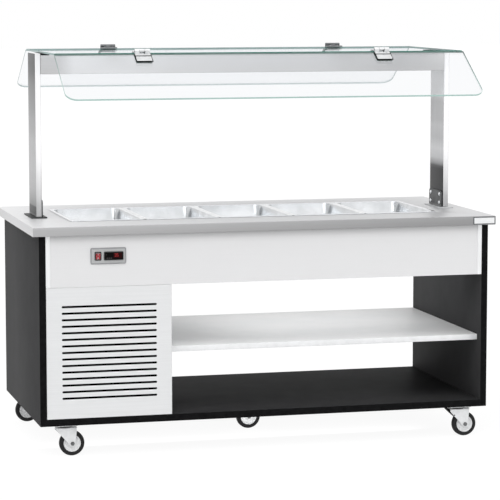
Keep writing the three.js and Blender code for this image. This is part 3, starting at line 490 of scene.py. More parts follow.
top, bottom = counter_high.z, counter_low.z
rings = [well_ring(0, top - counter_gauge), well_ring(0, top - 0.0006), well_ring(0.0006, top)]
rings += [counter_ring(inset, top + drop) for inset, drop in quarter_bend(counter_bend)]
rings += [counter_ring(inset, bottom - drop) for inset, drop in reversed(quarter_bend(counter_bend))]
rings += [counter_ring(inset, z) for inset, z in [
    (counter_lip, bottom), (counter_lip, bottom + counter_gauge),
    (counter_gauge, bottom + counter_gauge + 0.001), (counter_gauge, top - counter_gauge - 0.001),
    (counter_gauge + 0.001, top - counter_gauge)]]

# The top, the front and rear edges and the ends each take their own copy of the brushed steel, lighter or
# darker along the counter: painted light on the top and ends, painted shade on the edges.
brushed_top_painted_light = toned(finish("steel_top_painted_light", 0.42, metallic=0.7), "X", [
    (-1.0, 236), (-0.86, 230), (-0.6, 218), (0, 210), (0.6, 210), (1.0, 213)], (1.5, 90, 90), 0.035)
brushed_edge_painted_shade = toned(finish("steel_edge_painted_shade", 0.36, metallic=0.7), "X", [
    (-1.0, 178), (-0.3, 170), (0.3, 160), (0.7, 152), (1.0, 149)], (1.5, 90, 420), 0.04)
brushed_end_painted_light = toned(finish("steel_end_painted_light", 0.38, metallic=0.7), "Y", [
    (-0.48, 208), (0, 214), (0.48, 204)], (90, 1.5, 420), 0.04)
for steel in (brushed_top_painted_light, brushed_edge_painted_shade):
    grained(steel, (25, 1400, 1400), 0.00005)
grained(brushed_end_painted_light, (1400, 25, 1400), 0.00005)

counter = fitted("counter_top_folded", [skin(rings, closed=True)], "cabinet", "counter_steel",
                 brushed_top_painted_light, brushed_edge_painted_shade, brushed_end_painted_light, crease=50, instead_of="counter_top")
# The edges and ends take the darker and the middling copies by the way their faces look: painted shade and
# light.
second_finish(counter, lambda face: abs(face.normal.y) > 0.5 and abs(face.center.y) > 0.4)
second_finish(counter, lambda face: abs(face.normal.x) > 0.5 and abs(face.center.x) > 0.9, 2)

# ---------- Well tub ----------
# The cooled tub under the pans: thin stainless steel, welded at its corners and hung by a flange
# under the counter. Its drain spout comes through the bottom.


def dressed(name, material):
    """Keeps a node as it is and gives it a better finish."""
    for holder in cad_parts[name].material_slots:
        holder.material = material


dressed("well_tub", surface("tub_steel", 0.4, (168, 170, 172), (186, 188, 190), 14, (400, 0.00005),
                            metallic=0.9))

# ---------- Pans ----------
# Five full-size pans pressed from thin stainless steel, with a flat rim that rolls down at its
# edge, leaning walls and round corners. They stand side by side on the edge of the well.

pan_rim_rise = 0.0032
pan_gauge = 0.0012
pan_rim = 0.014
pan_lean = 0.010
pan_foot = 0.012
pan_corner, pan_rim_corner = 0.034, 0.014

pan_steel = surface("pressed_pan_steel", 0.26, (196, 198, 200), (214, 216, 218), 10, (300, 0.00003),
                    metallic=1)
# The rim's faces that look up take a lighter, smoother copy of the steel: a painted highlight.
pan_rim_painted_highlight = surface("pan_rim_painted_highlight", 0.22, (220, 222, 224), (234, 235, 237), 24, metallic=1)

for number in range(1, 6):
    low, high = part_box(f"pan_{number}")
    half_x, half_y = (high.x - low.x) / 2, (high.y - low.y) / 2
    seat = high.z - pan_rim_rise
    profile = [(pan_rim + pan_lean + inset, pan_corner - inset, low.z - drop)
               for inset, drop in quarter_bend(pan_foot)]
    profile += [(pan_rim + 0.0008, pan_corner, seat - 0.002), (pan_rim - 0.001, pan_corner, seat),
                (0.0006, pan_rim_corner, seat), (0, pan_rim_corner, seat + 0.0007),
                (0, pan_rim_corner, seat + 0.0018), (0.0004, pan_rim_corner, seat + 0.0026),
                (0.0014, pan_rim_corner, high.z), (pan_rim - 0.002, pan_corner, high.z),
                (pan_rim - 0.0004, pan_corner - 0.001, high.z - 0.0006),
                (pan_rim + 0.0006, pan_corner - 0.001, high.z - 0.002)]
    profile += [(pan_rim + pan_lean + pan_gauge - drop, pan_corner - 0.004 + drop, low.z + pan_gauge + rise)
                for rise, drop in quarter_bend(pan_foot - pan_gauge)]
    loops = [rounded_loop(half_x - inset, half_y - inset, corner, z, 6) for inset, corner, z in profile]
    pan = fitted(f"pan_{number}_pressed", [skin(loops)], f"pan_{number}_body", "satin_steel",
                 pan_steel, pan_rim_painted_highlight, crease=60, instead_of=f"pan_{number}",
                 place=Matrix.Translation(((low.x + high.x) / 2, (low.y + high.y) / 2, 0)))
    second_finish(pan, lambda face: face.center.z > seat - 0.0005)

# ---------- Control panel ----------
# A moulded grey bezel snaps into the apron. Through its lighter face come a lit rocker switch in
# a black frame and a black temperature controller with red figures.

bezel_low, bezel_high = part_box("control_bezel")
bezel_x, bezel_z = (bezel_low.x + bezel_high.x) / 2, (bezel_low.z + bezel_high.z) / 2
bezel_half_x, bezel_half_z = (bezel_high.x - bezel_low.x) / 2, (bezel_high.z - bezel_low.z) / 2
bezel_depth = bezel_high.y - bezel_low.y
bezel_frame = 0.005
face_step = 0.0009
rocker_x, rocker_half_x, rocker_half_z = -0.044, 0.0092, 0.0132
rocker_room, rocker_rim = 0.0026, 0.0048     # round the rocker: the hole in the face, the black frame


def facing_front(x, y, z):
    """The place of a piece drawn level and face down, that faces the front at (x, y, z)."""
    return Matrix.Translation((x, y, z)) @ Matrix.Rotation(math.radians(90), 4, "X")


def on_panel(x, y):
    """The same, x along from the bezel's middle."""
    return facing_front(bezel_x + x, y, bezel_z)


def ring(radius, z, count=24):
    """A level ring of points."""
    angles = [2 * math.pi * i / count for i in range(count)]
    return [Vector((radius * math.cos(a), radius * math.sin(a), z)) for a in angles]


# Drawn level, with z away from the apron.
frame_profile = [(0, 0), (0, bezel_depth - 0.0012), (0.0004, bezel_depth - 0.0004), (0.0012, bezel_depth),
                 (bezel_frame - 0.0008, bezel_depth), (bezel_frame, bezel_depth - 0.0006), (bezel_frame, 0)]
frame_loops = [rounded_loop(bezel_half_x - inset, bezel_half_z - inset, max(0.006 - inset, 0.001), z, 5)
               for inset, z in frame_profile]
bezel_grey = surface("bezel_moulding", 0.5, (144, 145, 147), (154, 155, 157), 20, (1500, 0.00004))
fitted("control_bezel_frame", [skin(frame_loops, closed=True)], "cabinet", "bezel_grey", bezel_grey,
       place=on_panel(0, bezel_high.y), instead_of="control_bezel")

face_loops = []
face_top = bezel_depth - face_step
for round_rocker, z in [(False, 0), (True, 0), (True, face_top), (False, face_top)]:
    if round_rocker:
        edge = rounded_loop(rocker_half_x + rocker_room, rocker_half_z + rocker_room, 0.001, z)
        edge = [point + Vector((rocker_x, 0, 0)) for point in edge]
    else:
        edge = rounded_loop(bezel_half_x - bezel_frame, bezel_half_z - bezel_frame, 0.0015, z)
    face_loops.append(edge)
face_grey = surface("control_face_grey", 0.45, (180, 181, 182), (188, 189, 190), 15, (1200, 0.00003))
fitted("control_face", [skin(face_loops, closed=True)], "cabinet", "bezel_grey", face_grey,
       place=on_panel(0, bezel_high.y))

# The rocker's black frame, and the rocker itself with a shallow valley across its face.
rim_profile = [(0, face_top), (0, bezel_depth + 0.0012), (0.0005, bezel_depth + 0.0018),
               (0.0036, bezel_depth + 0.0012), (0.0036, 0.001)]
rim_loops = [rounded_loop(rocker_half_x + rocker_rim - inset, rocker_half_z + rocker_rim - inset,
                          0.0035 - 0.7 * inset, z) for inset, z in rim_profile]
switch_black = surface("switch_black", 0.35, (20, 20, 21), (27, 27, 28), 40, (1500, 0.00002))
fitted("rocker_frame", [skin(rim_loops, closed=True)], "cabinet", "display_black", switch_black,
       place=on_panel(rocker_x, bezel_high.y))

rocker_tilt = math.radians(9)
rocker_back, rocker_front = -0.0022, 0.0045
valley = math.tan(rocker_tilt) * rocker_half_z
rocker_side = [(rocker_back, 0.003 - rocker_half_z), (rocker_front, 0.001 - rocker_half_z)]
for step in range(1, 10):
    t = -1 + step / 5
    rocker_side.append((rocker_front - valley / 2 * (1 - t * t), t * (rocker_half_z - 0.001)))
rocker_side += [(rocker_front, rocker_half_z - 0.001), (rocker_back, rocker_half_z - 0.003)]
# Drawn: x out of the apron, y up and z along the apron.
out_up_along = Matrix(((0, 0, 1, 0), (-1, 0, 0, 0), (0, 1, 0, 0), (0, 0, 0, 1)))
at_rocker = Matrix.Translation((bezel_x + rocker_x, bezel_low.y, bezel_z))
rocker_red = surface("rocker_red", 0.25, (146, 18, 30), (160, 25, 37), 60)
set_shader(rocker_red, {"Coat Weight": 0.3})
fitted("rocker_paddle", [drawn(eased(rocker_side, 0.0006, 2), -rocker_half_x, rocker_half_x)], "rocker",
       "rocker_red", rocker_red, crease=40, instead_of="rocker_switch",
       place=at_rocker @ Matrix.Rotation(rocker_tilt, 4, "X") @ out_up_along)

mark_above, mark_face = 0.0078, 0.0043
mark_white = surface("mark_white", 0.5, (226, 226, 224), (238, 238, 236), 90)
dash = soft_block((-0.0007, -0.0026, 0), (0.0007, 0.0026, 0.0003), 0.0001, 1)
nought = skin([ring(radius, z, 20) for radius, z in
               [(0.0027, 0), (0.0027, 0.0003), (0.0019, 0.0003), (0.0019, 0)]], closed=True)
for mark, y in [(dash, mark_above), (nought, -mark_above)]:
    mark.transform(Matrix.Translation((0, y, mark_face)))
fitted("rocker_marks", [dash, nought], "rocker", "lamp_white", mark_white,
       place=at_rocker @ Matrix.Rotation(rocker_tilt + math.radians(90), 4, "X"))

# The controller: a black case with a glossy window, red figures and a row of small keys.
controller_x, controller_half_x, controller_half_z = 0.022, 0.041, 0.018
case_top = 0.0048
case_profile = [(0, 0), (0, case_top - 0.0016), (0.0005, case_top - 0.0005), (0.0014, case_top)]
case_loops = [rounded_loop(controller_half_x - inset, controller_half_z - inset,
                           max(0.004 - inset, 0.001), z, 5) for inset, z in case_profile]
fitted("controller_case", [skin(case_loops)], "cabinet", "display_black", switch_black,
       place=on_panel(controller_x, bezel_low.y), instead_of="temperature_controller")

figure_width, figure_half_height, figure_rise, stroke = 0.0062, 0.0056, 0.0035, 0.0012
# Each stroke's middle, in figure widths and half heights, and whether it lies level.
segments = {"a": (0, 1, True), "b": (0.5, 0.5, False), "c": (0.5, -0.5, False), "d": (0, -1, True),
            "f": (-0.5, 0.5, False), "g": (0, 0, True)}
strokes = []
for figure_x, lit in [(0.006, "abgcd"), (0.0155, "afgcd")]:
    for name in lit:
        u, v, level_stroke = segments[name]
        x, y = figure_x + u * figure_width, figure_rise + v * figure_half_height
        reach = (figure_width if level_stroke else figure_half_height) / 2 - stroke * 0.35
        half = (reach, stroke / 2) if level_stroke else (stroke / 2, reach)
        strokes.append(soft_block((x - half[0], y - half[1], 0), (x + half[0], y + half[1], 0.0002),
                                  0.00005, 1))
strokes.append(soft_block((0.0103, -0.0027, 0), (0.0115, -0.0015, 0.0002), 0.00005, 1))
keys = [soft_block((-0.0335, 0.0035, 0), (-0.0305, 0.0065, 0.0005), 0.0002, 1)]
keys += [soft_block((x - 0.003, -0.0105, 0), (x + 0.003, -0.0073, 0.0005), 0.0002, 1)
         for x in (-0.028, -0.0195, -0.011)]
window = soft_block((-0.038, -0.0145, 0), (0.038, 0.0145, 0.0004), 0.0002, 1)
# A dark red field round the figures: their glow, painted on.
glow = soft_block((-0.002, -0.009, 0), (0.034, 0.0125, 0.0002), 0.00005, 1)

window_black = surface("window_black", 0.4, (7, 5, 6), (12, 8, 9), 30, specular=0.05)
glow_red = surface("display_glow", 0.5, (36, 9, 12), (46, 12, 15), 60, specular=0.05)
figures_red = surface("figures_red", 0.4, (150, 22, 24), (176, 30, 30), 200)
set_shader(figures_red, {"Emission Color": (*srgb(200, 30, 30), 1), "Emission Strength": 0.35})
key_grey = surface("key_grey", 0.5, (58, 54, 55), (70, 66, 67), 80)
for name, parts, slot, material, rise in [
    ("controller_window", [window], "display_black", window_black, 0),
    ("display_glow_field", [glow], "rocker_red", glow_red, 0.0003),
    ("controller_figures", strokes, "rocker_red", figures_red, 0.0004),
    ("controller_keys", keys, "bezel_grey", key_grey, 0.0002),
]:
    fitted(name, parts, "cabinet", slot, material,
           place=on_panel(controller_x, bezel_low.y - case_top - rise))

# ---------- Bare plate ----------
# A small plate on the counter's front edge, at its right end: a white face, left bare, in a
# dark grey frame, held by adhesive tape.

plate_low, plate_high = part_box("name_plate")
plate_x, plate_z = (plate_low.x + plate_high.x) / 2, (plate_low.z + plate_high.z) / 2
plate_half_x, plate_half_z = (plate_high.x - plate_low.x) / 2, (plate_high.z - plate_low.z) / 2
plate_border = 0.004
plate_profile = [(0, 0), (0, 0.0011), (0.0004, 0.0015), (plate_border, 0.0015), (plate_border, 0.0008)]
plate_loops = [rounded_loop(plate_half_x - inset, plate_half_z - inset, max(0.003 - inset, 0.0008), z)
               for inset, z in plate_profile]
plate_grey = surface("plate_frame_grey", 0.4, (92, 95, 98), (104, 107, 110), 30)
plate_white = surface("plate_white", 0.45, (238, 239, 240), (244, 245, 245), 12)
plate = fitted("name_plate_framed", [skin(plate_loops)], "cabinet", "aluminium", plate_grey, plate_white,
               place=facing_front(plate_x, plate_high.y, plate_z), instead_of="name_plate")
second_finish(plate, lambda face: face.normal.y < -0.9 and abs(face.center.x - plate_x) < plate_half_x / 2
              and face.area > 0.001)

# ---------- Posts and their brackets ----------
# Flat box posts of satin stainless steel, closed at the top. Each stands on a foot plate whose
# upright flange is bolted to the inside of the post by four domed bolts.

post_round, post_arris = 0.004, 0.001
# Each post's front, outer and inner faces take their own copy of the steel, lighter and darker in bands up
# its height, with dark bands low down: painted reflections and painted shade.
post_front_painted_light = toned(finish("post_front_painted_light", 0.3, metallic=0.8), "Z", [
    (0.98, 174), (1.02, 182), (1.05, 200), (1.09, 214), (1.16, 231), (1.22, 246), (1.3, 254),
    (1.55, 254), (1.6, 250), (1.67, 243)], (180, 180, 3), 0.05)
post_outer_painted_light = toned(finish("post_outer_painted_light", 0.4, metallic=0.25, specular=0.1), "Z", [
    (0.98, 130), (0.984, 66), (1.014, 72), (1.02, 138), (1.05, 164), (1.09, 184), (1.17, 193),
    (1.287, 190), (1.337, 178), (1.387, 170), (1.436, 156), (1.5, 146), (1.54, 133),
    (1.585, 108), (1.62, 98), (1.668, 100)], (180, 180, 3))
post_inner_painted_light = toned(finish("post_inner_painted_light", 0.4, metallic=0.25, specular=0.1), "Z", [
    (0.98, 40), (1.0, 55), (1.06, 60), (1.14, 60), (1.152, 90), (1.165, 166), (1.19, 214),
    (1.23, 228), (1.28, 208), (1.335, 214), (1.36, 204), (1.44, 204), (1.47, 226),
    (1.57, 226), (1.6, 210), (1.668, 210)], (180, 180, 3))
for steel in (post_front_painted_light, post_outer_painted_light, post_inner_painted_light):
    grained(steel, (1400, 1400, 25), 0.00005)
bracket_steel = surface("bracket_steel", 0.42, (74, 75, 76), (92, 93, 94), 30, metallic=0.7)
# The left foot plate is dark and the right one light: the dark copy is painted shade.
foot_painted_shade = surface("foot_plate_painted_shade", 0.5, (44, 45, 46), (58, 59, 60), 30, metallic=0.4)
foot_light = surface("foot_plate_light", 0.4, (188, 189, 190), (204, 205, 206), 30, metallic=0.7)
bolt_bright = surface("bolt_bright", 0.22, (214, 216, 218), (232, 233, 235), 200, metallic=0.9)

foot_gauge, flange_gauge = 0.005, 0.005
flange_half, flange_shoulder, flange_top, bead_half = 0.082, 0.068, 0.076, 0.074
flange_outline = [(-flange_half, 0.004), (flange_half, 0.004), (flange_half, flange_shoulder),
                  (bead_half, flange_top), (-bead_half, flange_top), (-flange_half, flange_shoulder)]
weld_bead = [(0, 0), (0.008, 0), (0.0045, 0.001), (0.0018, 0.0028), (0.0005, 0.005), (0, 0.008)]
bolt_profile = [(0.0085, 0), (0.0085, 0.0012), (0.0078, 0.0026), (0.006, 0.0038), (0.0034, 0.0045)]
bolt_places = [(y, z) for y in (-0.058, 0.058) for z in (0.022, 0.060)]
# Lays what is drawn upwards along the counter, its x to the rear and its y up.
along_x = Matrix(((0, 0, 1, 0), (1, 0, 0, 0), (0, 1, 0, 0), (0, 0, 0, 1)))


def drawn_back(outline, start, end):
    """An outline of points (x, z) drawn towards the rear, from one y to another."""
    return skin([[Vector((x, y, z)) for x, z in outline] for y in (start, end)])


def heads(profile, count, places, turn=Matrix.Identity(4)):
    """Screw heads with that profile of (radius, height), one at each place."""
    screws = []
    for place in places:
        head = skin([ring(radius, height, count) for radius, height in profile])
        head.transform(Matrix.Translation(place) @ turn)
        screws.append(head)
    return screws


# The posts reach up to the top glass, and hide the outer ends of its pads.
post_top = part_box("top_glass")[0].z - clearance
for hand, side, foot_finish in [("left", -1, foot_painted_shade), ("right", 1, foot_light)]:
    low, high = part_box(f"{hand}_post")
    half_x, half_y = (high.x - low.x) / 2, (high.y - low.y) / 2
    loops = [rounded_loop(half_x - inset, half_y - inset, post_round - inset, z, 6)
             for inset, z in [(0, low.z), (0, post_top - post_arris), (post_arris, post_top)]]
    post = fitted(f"{hand}_post_tube", [skin(loops)], "cabinet", "satin_steel", post_front_painted_light,
                  post_outer_painted_light, post_inner_painted_light, instead_of=f"{hand}_post",
                  place=Matrix.Translation(((low.x + high.x) / 2, 0, 0)))
    second_finish(post, lambda face: side * face.normal.x > 0.7)
    second_finish(post, lambda face: side * face.normal.x < -0.7, 2)

    low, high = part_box(f"{hand}_post_bracket")
    foot_x = (low.x + high.x) / 2
    foot = soft_block((low.x, low.y, low.z), (high.x, high.y, low.z + foot_gauge), 0.0012, 3)
    flange_near = -side * (half_x + clearance)
    flange_far = flange_near - side * flange_gauge
    flange = drawn(eased(flange_outline, 0.005), 0, flange_gauge)
    flange.transform(Matrix.Translation((foot_x + min(flange_near, flange_far), 0, low.z)) @ along_x)
    bead_z = low.z + foot_gauge - 0.0005
    bead = drawn_back([(foot_x + flange_far - side * x, bead_z + z) for x, z in weld_bead],
                      -bead_half, bead_half)
    bracket = fitted(f"{hand}_post_bracket_bent", [foot, flange, bead], "cabinet", "zinc", bracket_steel,
                     foot_finish, instead_of=f"{hand}_post_bracket")
    second_finish(bracket, lambda face: face.center.z < low.z + foot_gauge + 0.0002)
    bolts = heads(bolt_profile, 24, [(foot_x + flange_far, y, low.z + z) for y, z in bolt_places],
                  Matrix.Rotation(math.radians(-90 * side), 4, "Y"))
    fitted(f"{hand}_bracket_bolts", bolts, "cabinet", "zinc", bolt_bright)

# ---------- Beam, lamp and pads ----------
# A folded stainless steel beam between the posts, with the lamp's opal diffuser in a channel
# under it. A dark rubber pad near each end keeps the glass off the steel.

beam_low, beam_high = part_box("top_beam")
lamp_half, lamp_recess = 0.045, 0.024
beam_section = [(beam_low.y, beam_high.z), (beam_low.y, beam_low.z), (-lamp_half, beam_low.z),
                (-lamp_half, beam_low.z + lamp_recess), (lamp_half, beam_low.z + lamp_recess),
                (lamp_half, beam_low.z), (beam_high.y, beam_low.z), (beam_high.y, beam_high.z)]
# The beam is lighter and darker in bands along its length: painted reflections.
beam_painted_reflection = toned(finish("beam_painted_reflection", 0.32, metallic=0.9), "X", [
    (-0.9, 200), (-0.82, 204), (-0.76, 233), (-0.6, 231), (-0.3, 217), (0, 210), (0.35, 205),
    (0.5, 196), (0.7, 183), (0.9, 189)], (1.2, 120, 260), 0.03)
grained(beam_painted_reflection, (25, 1400, 1400), 0.00005)
fitted("top_beam_folded", [drawn(eased(beam_section, 0.003), beam_low.x, beam_high.x)], "cabinet",
       "satin_steel", beam_painted_reflection, place=along_x, instead_of="top_beam")

lamp_low, lamp_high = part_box("light_diffuser")
opal_edge = beam_low.z + 0.002
opal_section = [(lamp_low.y, lamp_high.z)]
for step in range(13):
    t = -1 + step / 6
    opal_section.append((t * lamp_high.y, opal_edge - (opal_edge - lamp_low.z) * (1 - t * t)))
opal_section.append((lamp_high.y, lamp_high.z))
opal = surface("opal_acrylic", 0.35, (236, 238, 238), (243, 244, 244), 4)
set_shader(opal, {"Subsurface Weight": 0.15, "Subsurface Radius": (0.004, 0.004, 0.004)})
fitted("light_diffuser_opal", [drawn(opal_section, lamp_low.x, lamp_high.x)], "cabinet", "lamp_white", opal,
       place=along_x, crease=50, instead_of="light_diffuser")

rubber_pad = surface("rubber_pad", 0.7, (26, 27, 28), (36, 37, 38), 50, (900, 0.00006), specular=0.3)
for name in ("left_glass_pad", "right_glass_pad"):
    fitted(f"{name}_moulded", [soft_block(*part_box(name), radius=0.0022, steps=3)], "cabinet", "pad_rubber",
           rubber_pad, instead_of=name)

# ---------- Glass ----------
# Three panes of 8 mm toughened glass with ground edges, which show sea green where they are seen
# end on. The two slanted panes have round lower corners and swing on their clamps.

glass_gauge = 0.008
glass_arris = 0.0008
pin_y, pin_z = 0.3656, 1.687
pin_standoff = 0.011
slope = math.radians(32)
canopy_sides = [("front", 0), ("rear", 180)]

sheen_share = 0.12
clear_glass = bpy.data.materials.new("clear_glass")
clear_glass.use_nodes = True
glass_tree = clear_glass.node_tree
glass_tree.nodes.remove(glass_tree.nodes["Principled BSDF"])
see_through = add_node(glass_tree, "BsdfTransparent", {"Color": (*srgb(253.2, 253.8, 254.6), 1)})
sheen = add_node(glass_tree, "BsdfGlossy", {"Roughness": 0})
path = glass_tree.nodes.new("ShaderNodeLightPath")
sheen_level = rescaled(glass_tree, path.outputs["Is Shadow Ray"], sheen_share, 0)
two_shaders(clear_glass, sheen_level, see_through.outputs["BSDF"], sheen.outputs["BSDF"])

edge_grain = (3, 40, 40)
green_edge = surface("green_glass_edge", 0.4, (34, 124, 107), (48, 138, 120), edge_grain, specular=0.2)
pale_edge = surface("pale_glass_edge", 0.3, (132, 162, 159), (144, 173, 170), edge_grain)
grey_edge = surface("grey_glass_edge", 0.3, (186, 199, 198), (196, 208, 207), edge_grain)
deep_edge = toned(finish("deep_glass_edge", 0.3, specular=0.3), "Z", [
    (1.49, 198), (1.56, 192), (1.60, 156), (1.67, 112)], edge_grain, 0.03, tint=(-16, 12, 6))


def glass_pane(name, outlines, place, body, *edges):
    """A pane from its outline and the one inside its arris, both level. Its edge has one finish, or one
    at the front and another elsewhere."""
    outer, inner = outlines
    levels = [(inner, 0), (outer, glass_arris), (outer, glass_gauge - glass_arris), (inner, glass_gauge)]
    loops = [[Vector((x, y, z)) for x, y in outline] for outline, z in levels]
    pane = fitted(f"{name}_pane", [skin(loops)], body, "clear_glass", clear_glass, *edges,
                  place=place, crease=30, instead_of=name)
    faces = sorted(pane.data.polygons, key=lambda face: face.area)[:-2]
    for face in faces:
        face.material_index = 2 if len(edges) > 1 and face.normal.y > -0.3 else 1


low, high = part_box("top_glass")
top_outlines = [[(p.x, p.y) for p in rounded_loop(high.x - inset, high.y - inset, 0.003 - inset, 0)]
                for inset in (0, glass_arris)]
glass_pane("top_glass", top_outlines, Matrix.Translation((0, 0, low.z)), "cabinet", green_edge, pale_edge)

pane_half, pane_near, pane_far, pane_corner = 0.892, -0.0076, -0.3356, 0.048


def slanted_outline(inset):
    """A slanted pane's outline, seen along its pin: square corners above and round ones below."""
    half, near, far, radius = pane_half - inset, pane_near - inset, pane_far + inset, pane_corner - inset
    points = [(half, near), (-half, near)]
    for start, x in [(180, -half + radius), (270, half - radius)]:
        for step in range(13):
            angle = math.radians(start + 90 * step / 12)
            points.append((x + radius * math.cos(angle), far + radius + radius * math.sin(angle)))
    return points


for (name, turn), pane_edge in zip(canopy_sides, (deep_edge, grey_edge)):
    hinge = Matrix.Rotation(math.radians(turn), 4, "Z") @ Matrix.Translation((0, -pin_y, pin_z))
    place = hinge @ Matrix.Rotation(slope, 4, "X") @ Matrix.Translation((0, 0, -pin_standoff - glass_gauge))
    glass_pane(f"{name}_glass", [slanted_outline(0), slanted_outline(glass_arris)], place, f"{name}_canopy",
               pane_edge)

# ---------- Glass clamps ----------
# Chromed hinge clamps: an outer and an inner plate on each pane over thin grey gaskets, a black
# strip in the outer plate's groove, two cap screws, and knuckles that turn stiffly about one pin. The
# black strip, and a black lip round each lower jaw, are painted shade.

clamp_x = 0.522
clamp_half = 0.033
jaw_reach = {"upper": 0.050, "lower": 0.068}
clamp_plate = 0.0055
clamp_edge = 0.0016
clamp_groove = (0.029, 0.036)
clamp_lip = 0.0035
clamp_outer_face = -pin_standoff + clearance
clamp_inner_face = -pin_standoff - glass_gauge - clearance
screw_profile = [(0.0044, -0.001), (0.0044, 0.0007), (0.0037, 0.0012), (0.0022, 0.0012), (0.0019, 0.0004)]
screw_half_spacing, screw_place = 0.017, 0.0225
knuckle, knuckle_edge = 0.0066, 0.0006
chrome = surface("chrome", 0.12, (222, 223, 224), (234, 235, 236), 25, metallic=1)
# The darker chrome is painted shade: it goes on the rear clamps' outer plates and on the side faces of every
# plate.
chrome_shade = surface("chrome_in_shade", 0.3, (104, 106, 108), (124, 126, 128), 25, metallic=0.6)
clamp_shade_black = surface("clamp_painted_shade", 0.6, (20, 20, 21), (29, 29, 30), 60, specular=0.1)
screw_steel = surface("screw_steel", 0.35, (200, 202, 204), (214, 216, 218), 120, metallic=0.4)
gasket_grey = surface("gasket_grey", 0.5, (150, 162, 160), (166, 176, 174), 60)


def clamp_plates(reach, knuckles):
    """The bright side of a jaw in its hinge's frame: a grooved outer plate and knuckles."""
    parts = []
    eased_edge = [(0, 0), (0, clamp_plate - clamp_edge),
                  (0.3 * clamp_edge, clamp_plate - 0.3 * clamp_edge), (clamp_edge, clamp_plate)]
    for near, far in [(0.008, clamp_groove[0]), (clamp_groove[1], reach)]:
        loops = []
        for inset, z in eased_edge:
            half = (far - near) / 2 - inset
            loops.append(rounded_loop(clamp_half - inset, half, 0.0025 - 0.9 * inset, z, 5))
        plate = skin(loops)
        plate.transform(Matrix.Translation((0, -(near + far) / 2, clamp_outer_face)))
        parts.append(plate)
    for start, end in knuckles:
        barrel = skin([ring(knuckle - knuckle_edge, start), ring(knuckle, start + knuckle_edge),
                       ring(knuckle, end - knuckle_edge), ring(knuckle - knuckle_edge, end)])
        barrel.transform(Matrix.Rotation(math.radians(90), 4, "Y"))
        web = soft_block((start, -0.010, clamp_outer_face + 0.0005), (end, 0, 0.0015), 0.0008, 2)
        parts += [barrel, web]
    return parts


def inner_plate(reach):
    """The plain plate under the glass, that the cap screws are drawn up into."""
    return [soft_block((-clamp_half + 0.002, 0.001 - reach, clamp_inner_face - 0.004),
                       (clamp_half - 0.002, -0.013, clamp_inner_face), 0.0012, 3)]


def clamp_shade_strips(reach, lipped):
    """The black strip in the outer plate's groove and, on a lower jaw, the lip round its sides and end:
    painted shade.
    """
    low, high = clamp_outer_face, clamp_outer_face + 0.0035
    shade_strips = [soft_block((-clamp_half + 0.001, -clamp_groove[1] - 0.001, low),
                          (clamp_half - 0.001, -clamp_groove[0] + 0.001, high), 0.0003, 1)]
    if lipped:
        far = -reach - clamp_lip
        shade_strips.append(soft_block((-clamp_half - clamp_lip, far, low), (clamp_half, -reach, high), 0.0008, 2))
        for x in (-clamp_half - clamp_lip, clamp_half):
            shade_strips.append(soft_block((x, far, low), (x + clamp_lip, -0.018, high), 0.0008, 2))
    return shade_strips


def gaskets(reach):
    """The gaskets that show as a thin line round both plates."""
    half_x = clamp_half + 0.0015
    return [soft_block((-half_x, -reach - 0.001, z), (half_x, -0.0095, z + 0.0007), 0.0003, 1)
            for z in (-pin_standoff - 0.0002, -pin_standoff - glass_gauge - 0.0005)]


third = clamp_half / 3
outer_knuckles = [(-clamp_half, -third - knuckle_edge), (third + knuckle_edge, clamp_half)]
screw_places = [(x, -screw_place, clamp_outer_face + clamp_plate)
                for x in (-screw_half_spacing, screw_half_spacing)]
for (side, turn), outer_finish in zip(canopy_sides, (chrome, chrome_shade)):
    spin = Matrix.Rotation(math.radians(turn), 4, "Z")
    for hand, x in [("left", -clamp_x), ("right", clamp_x)]:
        at_pin = spin @ Matrix.Translation((x, -pin_y, pin_z))
        level_jaw = at_pin @ Matrix.Rotation(math.radians(180), 4, "Z")
        tilted_jaw = at_pin @ Matrix.Rotation(slope, 4, "X")
        for jaw, place, knuckles, body in [
            ("upper", level_jaw, [(-third, third)], "cabinet"),
            ("lower", tilted_jaw, outer_knuckles, f"{side}_canopy"),
        ]:
            name = f"{side}_{hand}_{jaw}_jaw"
            reach = jaw_reach[jaw]
            plates = fitted(f"{name}_plates", clamp_plates(reach, knuckles), body, "chrome", outer_finish,
                            chrome_shade, place=place, instead_of=name)
            # Side faces take the darker chrome: painted shade.
            second_finish(plates, lambda face: abs(face.normal.x) > 0.8)
            for kind, parts, slot, material in [
                ("inner_plate", inner_plate(reach), "chrome", chrome),
                ("shade_strips", clamp_shade_strips(reach, jaw == "lower"), "pad_rubber", clamp_shade_black),
                ("screws", heads(screw_profile, 20, screw_places), "chrome", screw_steel),
                ("gaskets", gaskets(reach), "pad_rubber", gasket_grey),
            ]:
                fitted(f"{name}_{kind}", parts, body, slot, material, place=place)

# ---------- Casters ----------
# Zinc-plated swivel casters screwed under the base: a plate, a black ball race, a pressed fork and
# a pale grey hub with a solid black tyre on an axle bolt. The two at the right have a brake pedal.

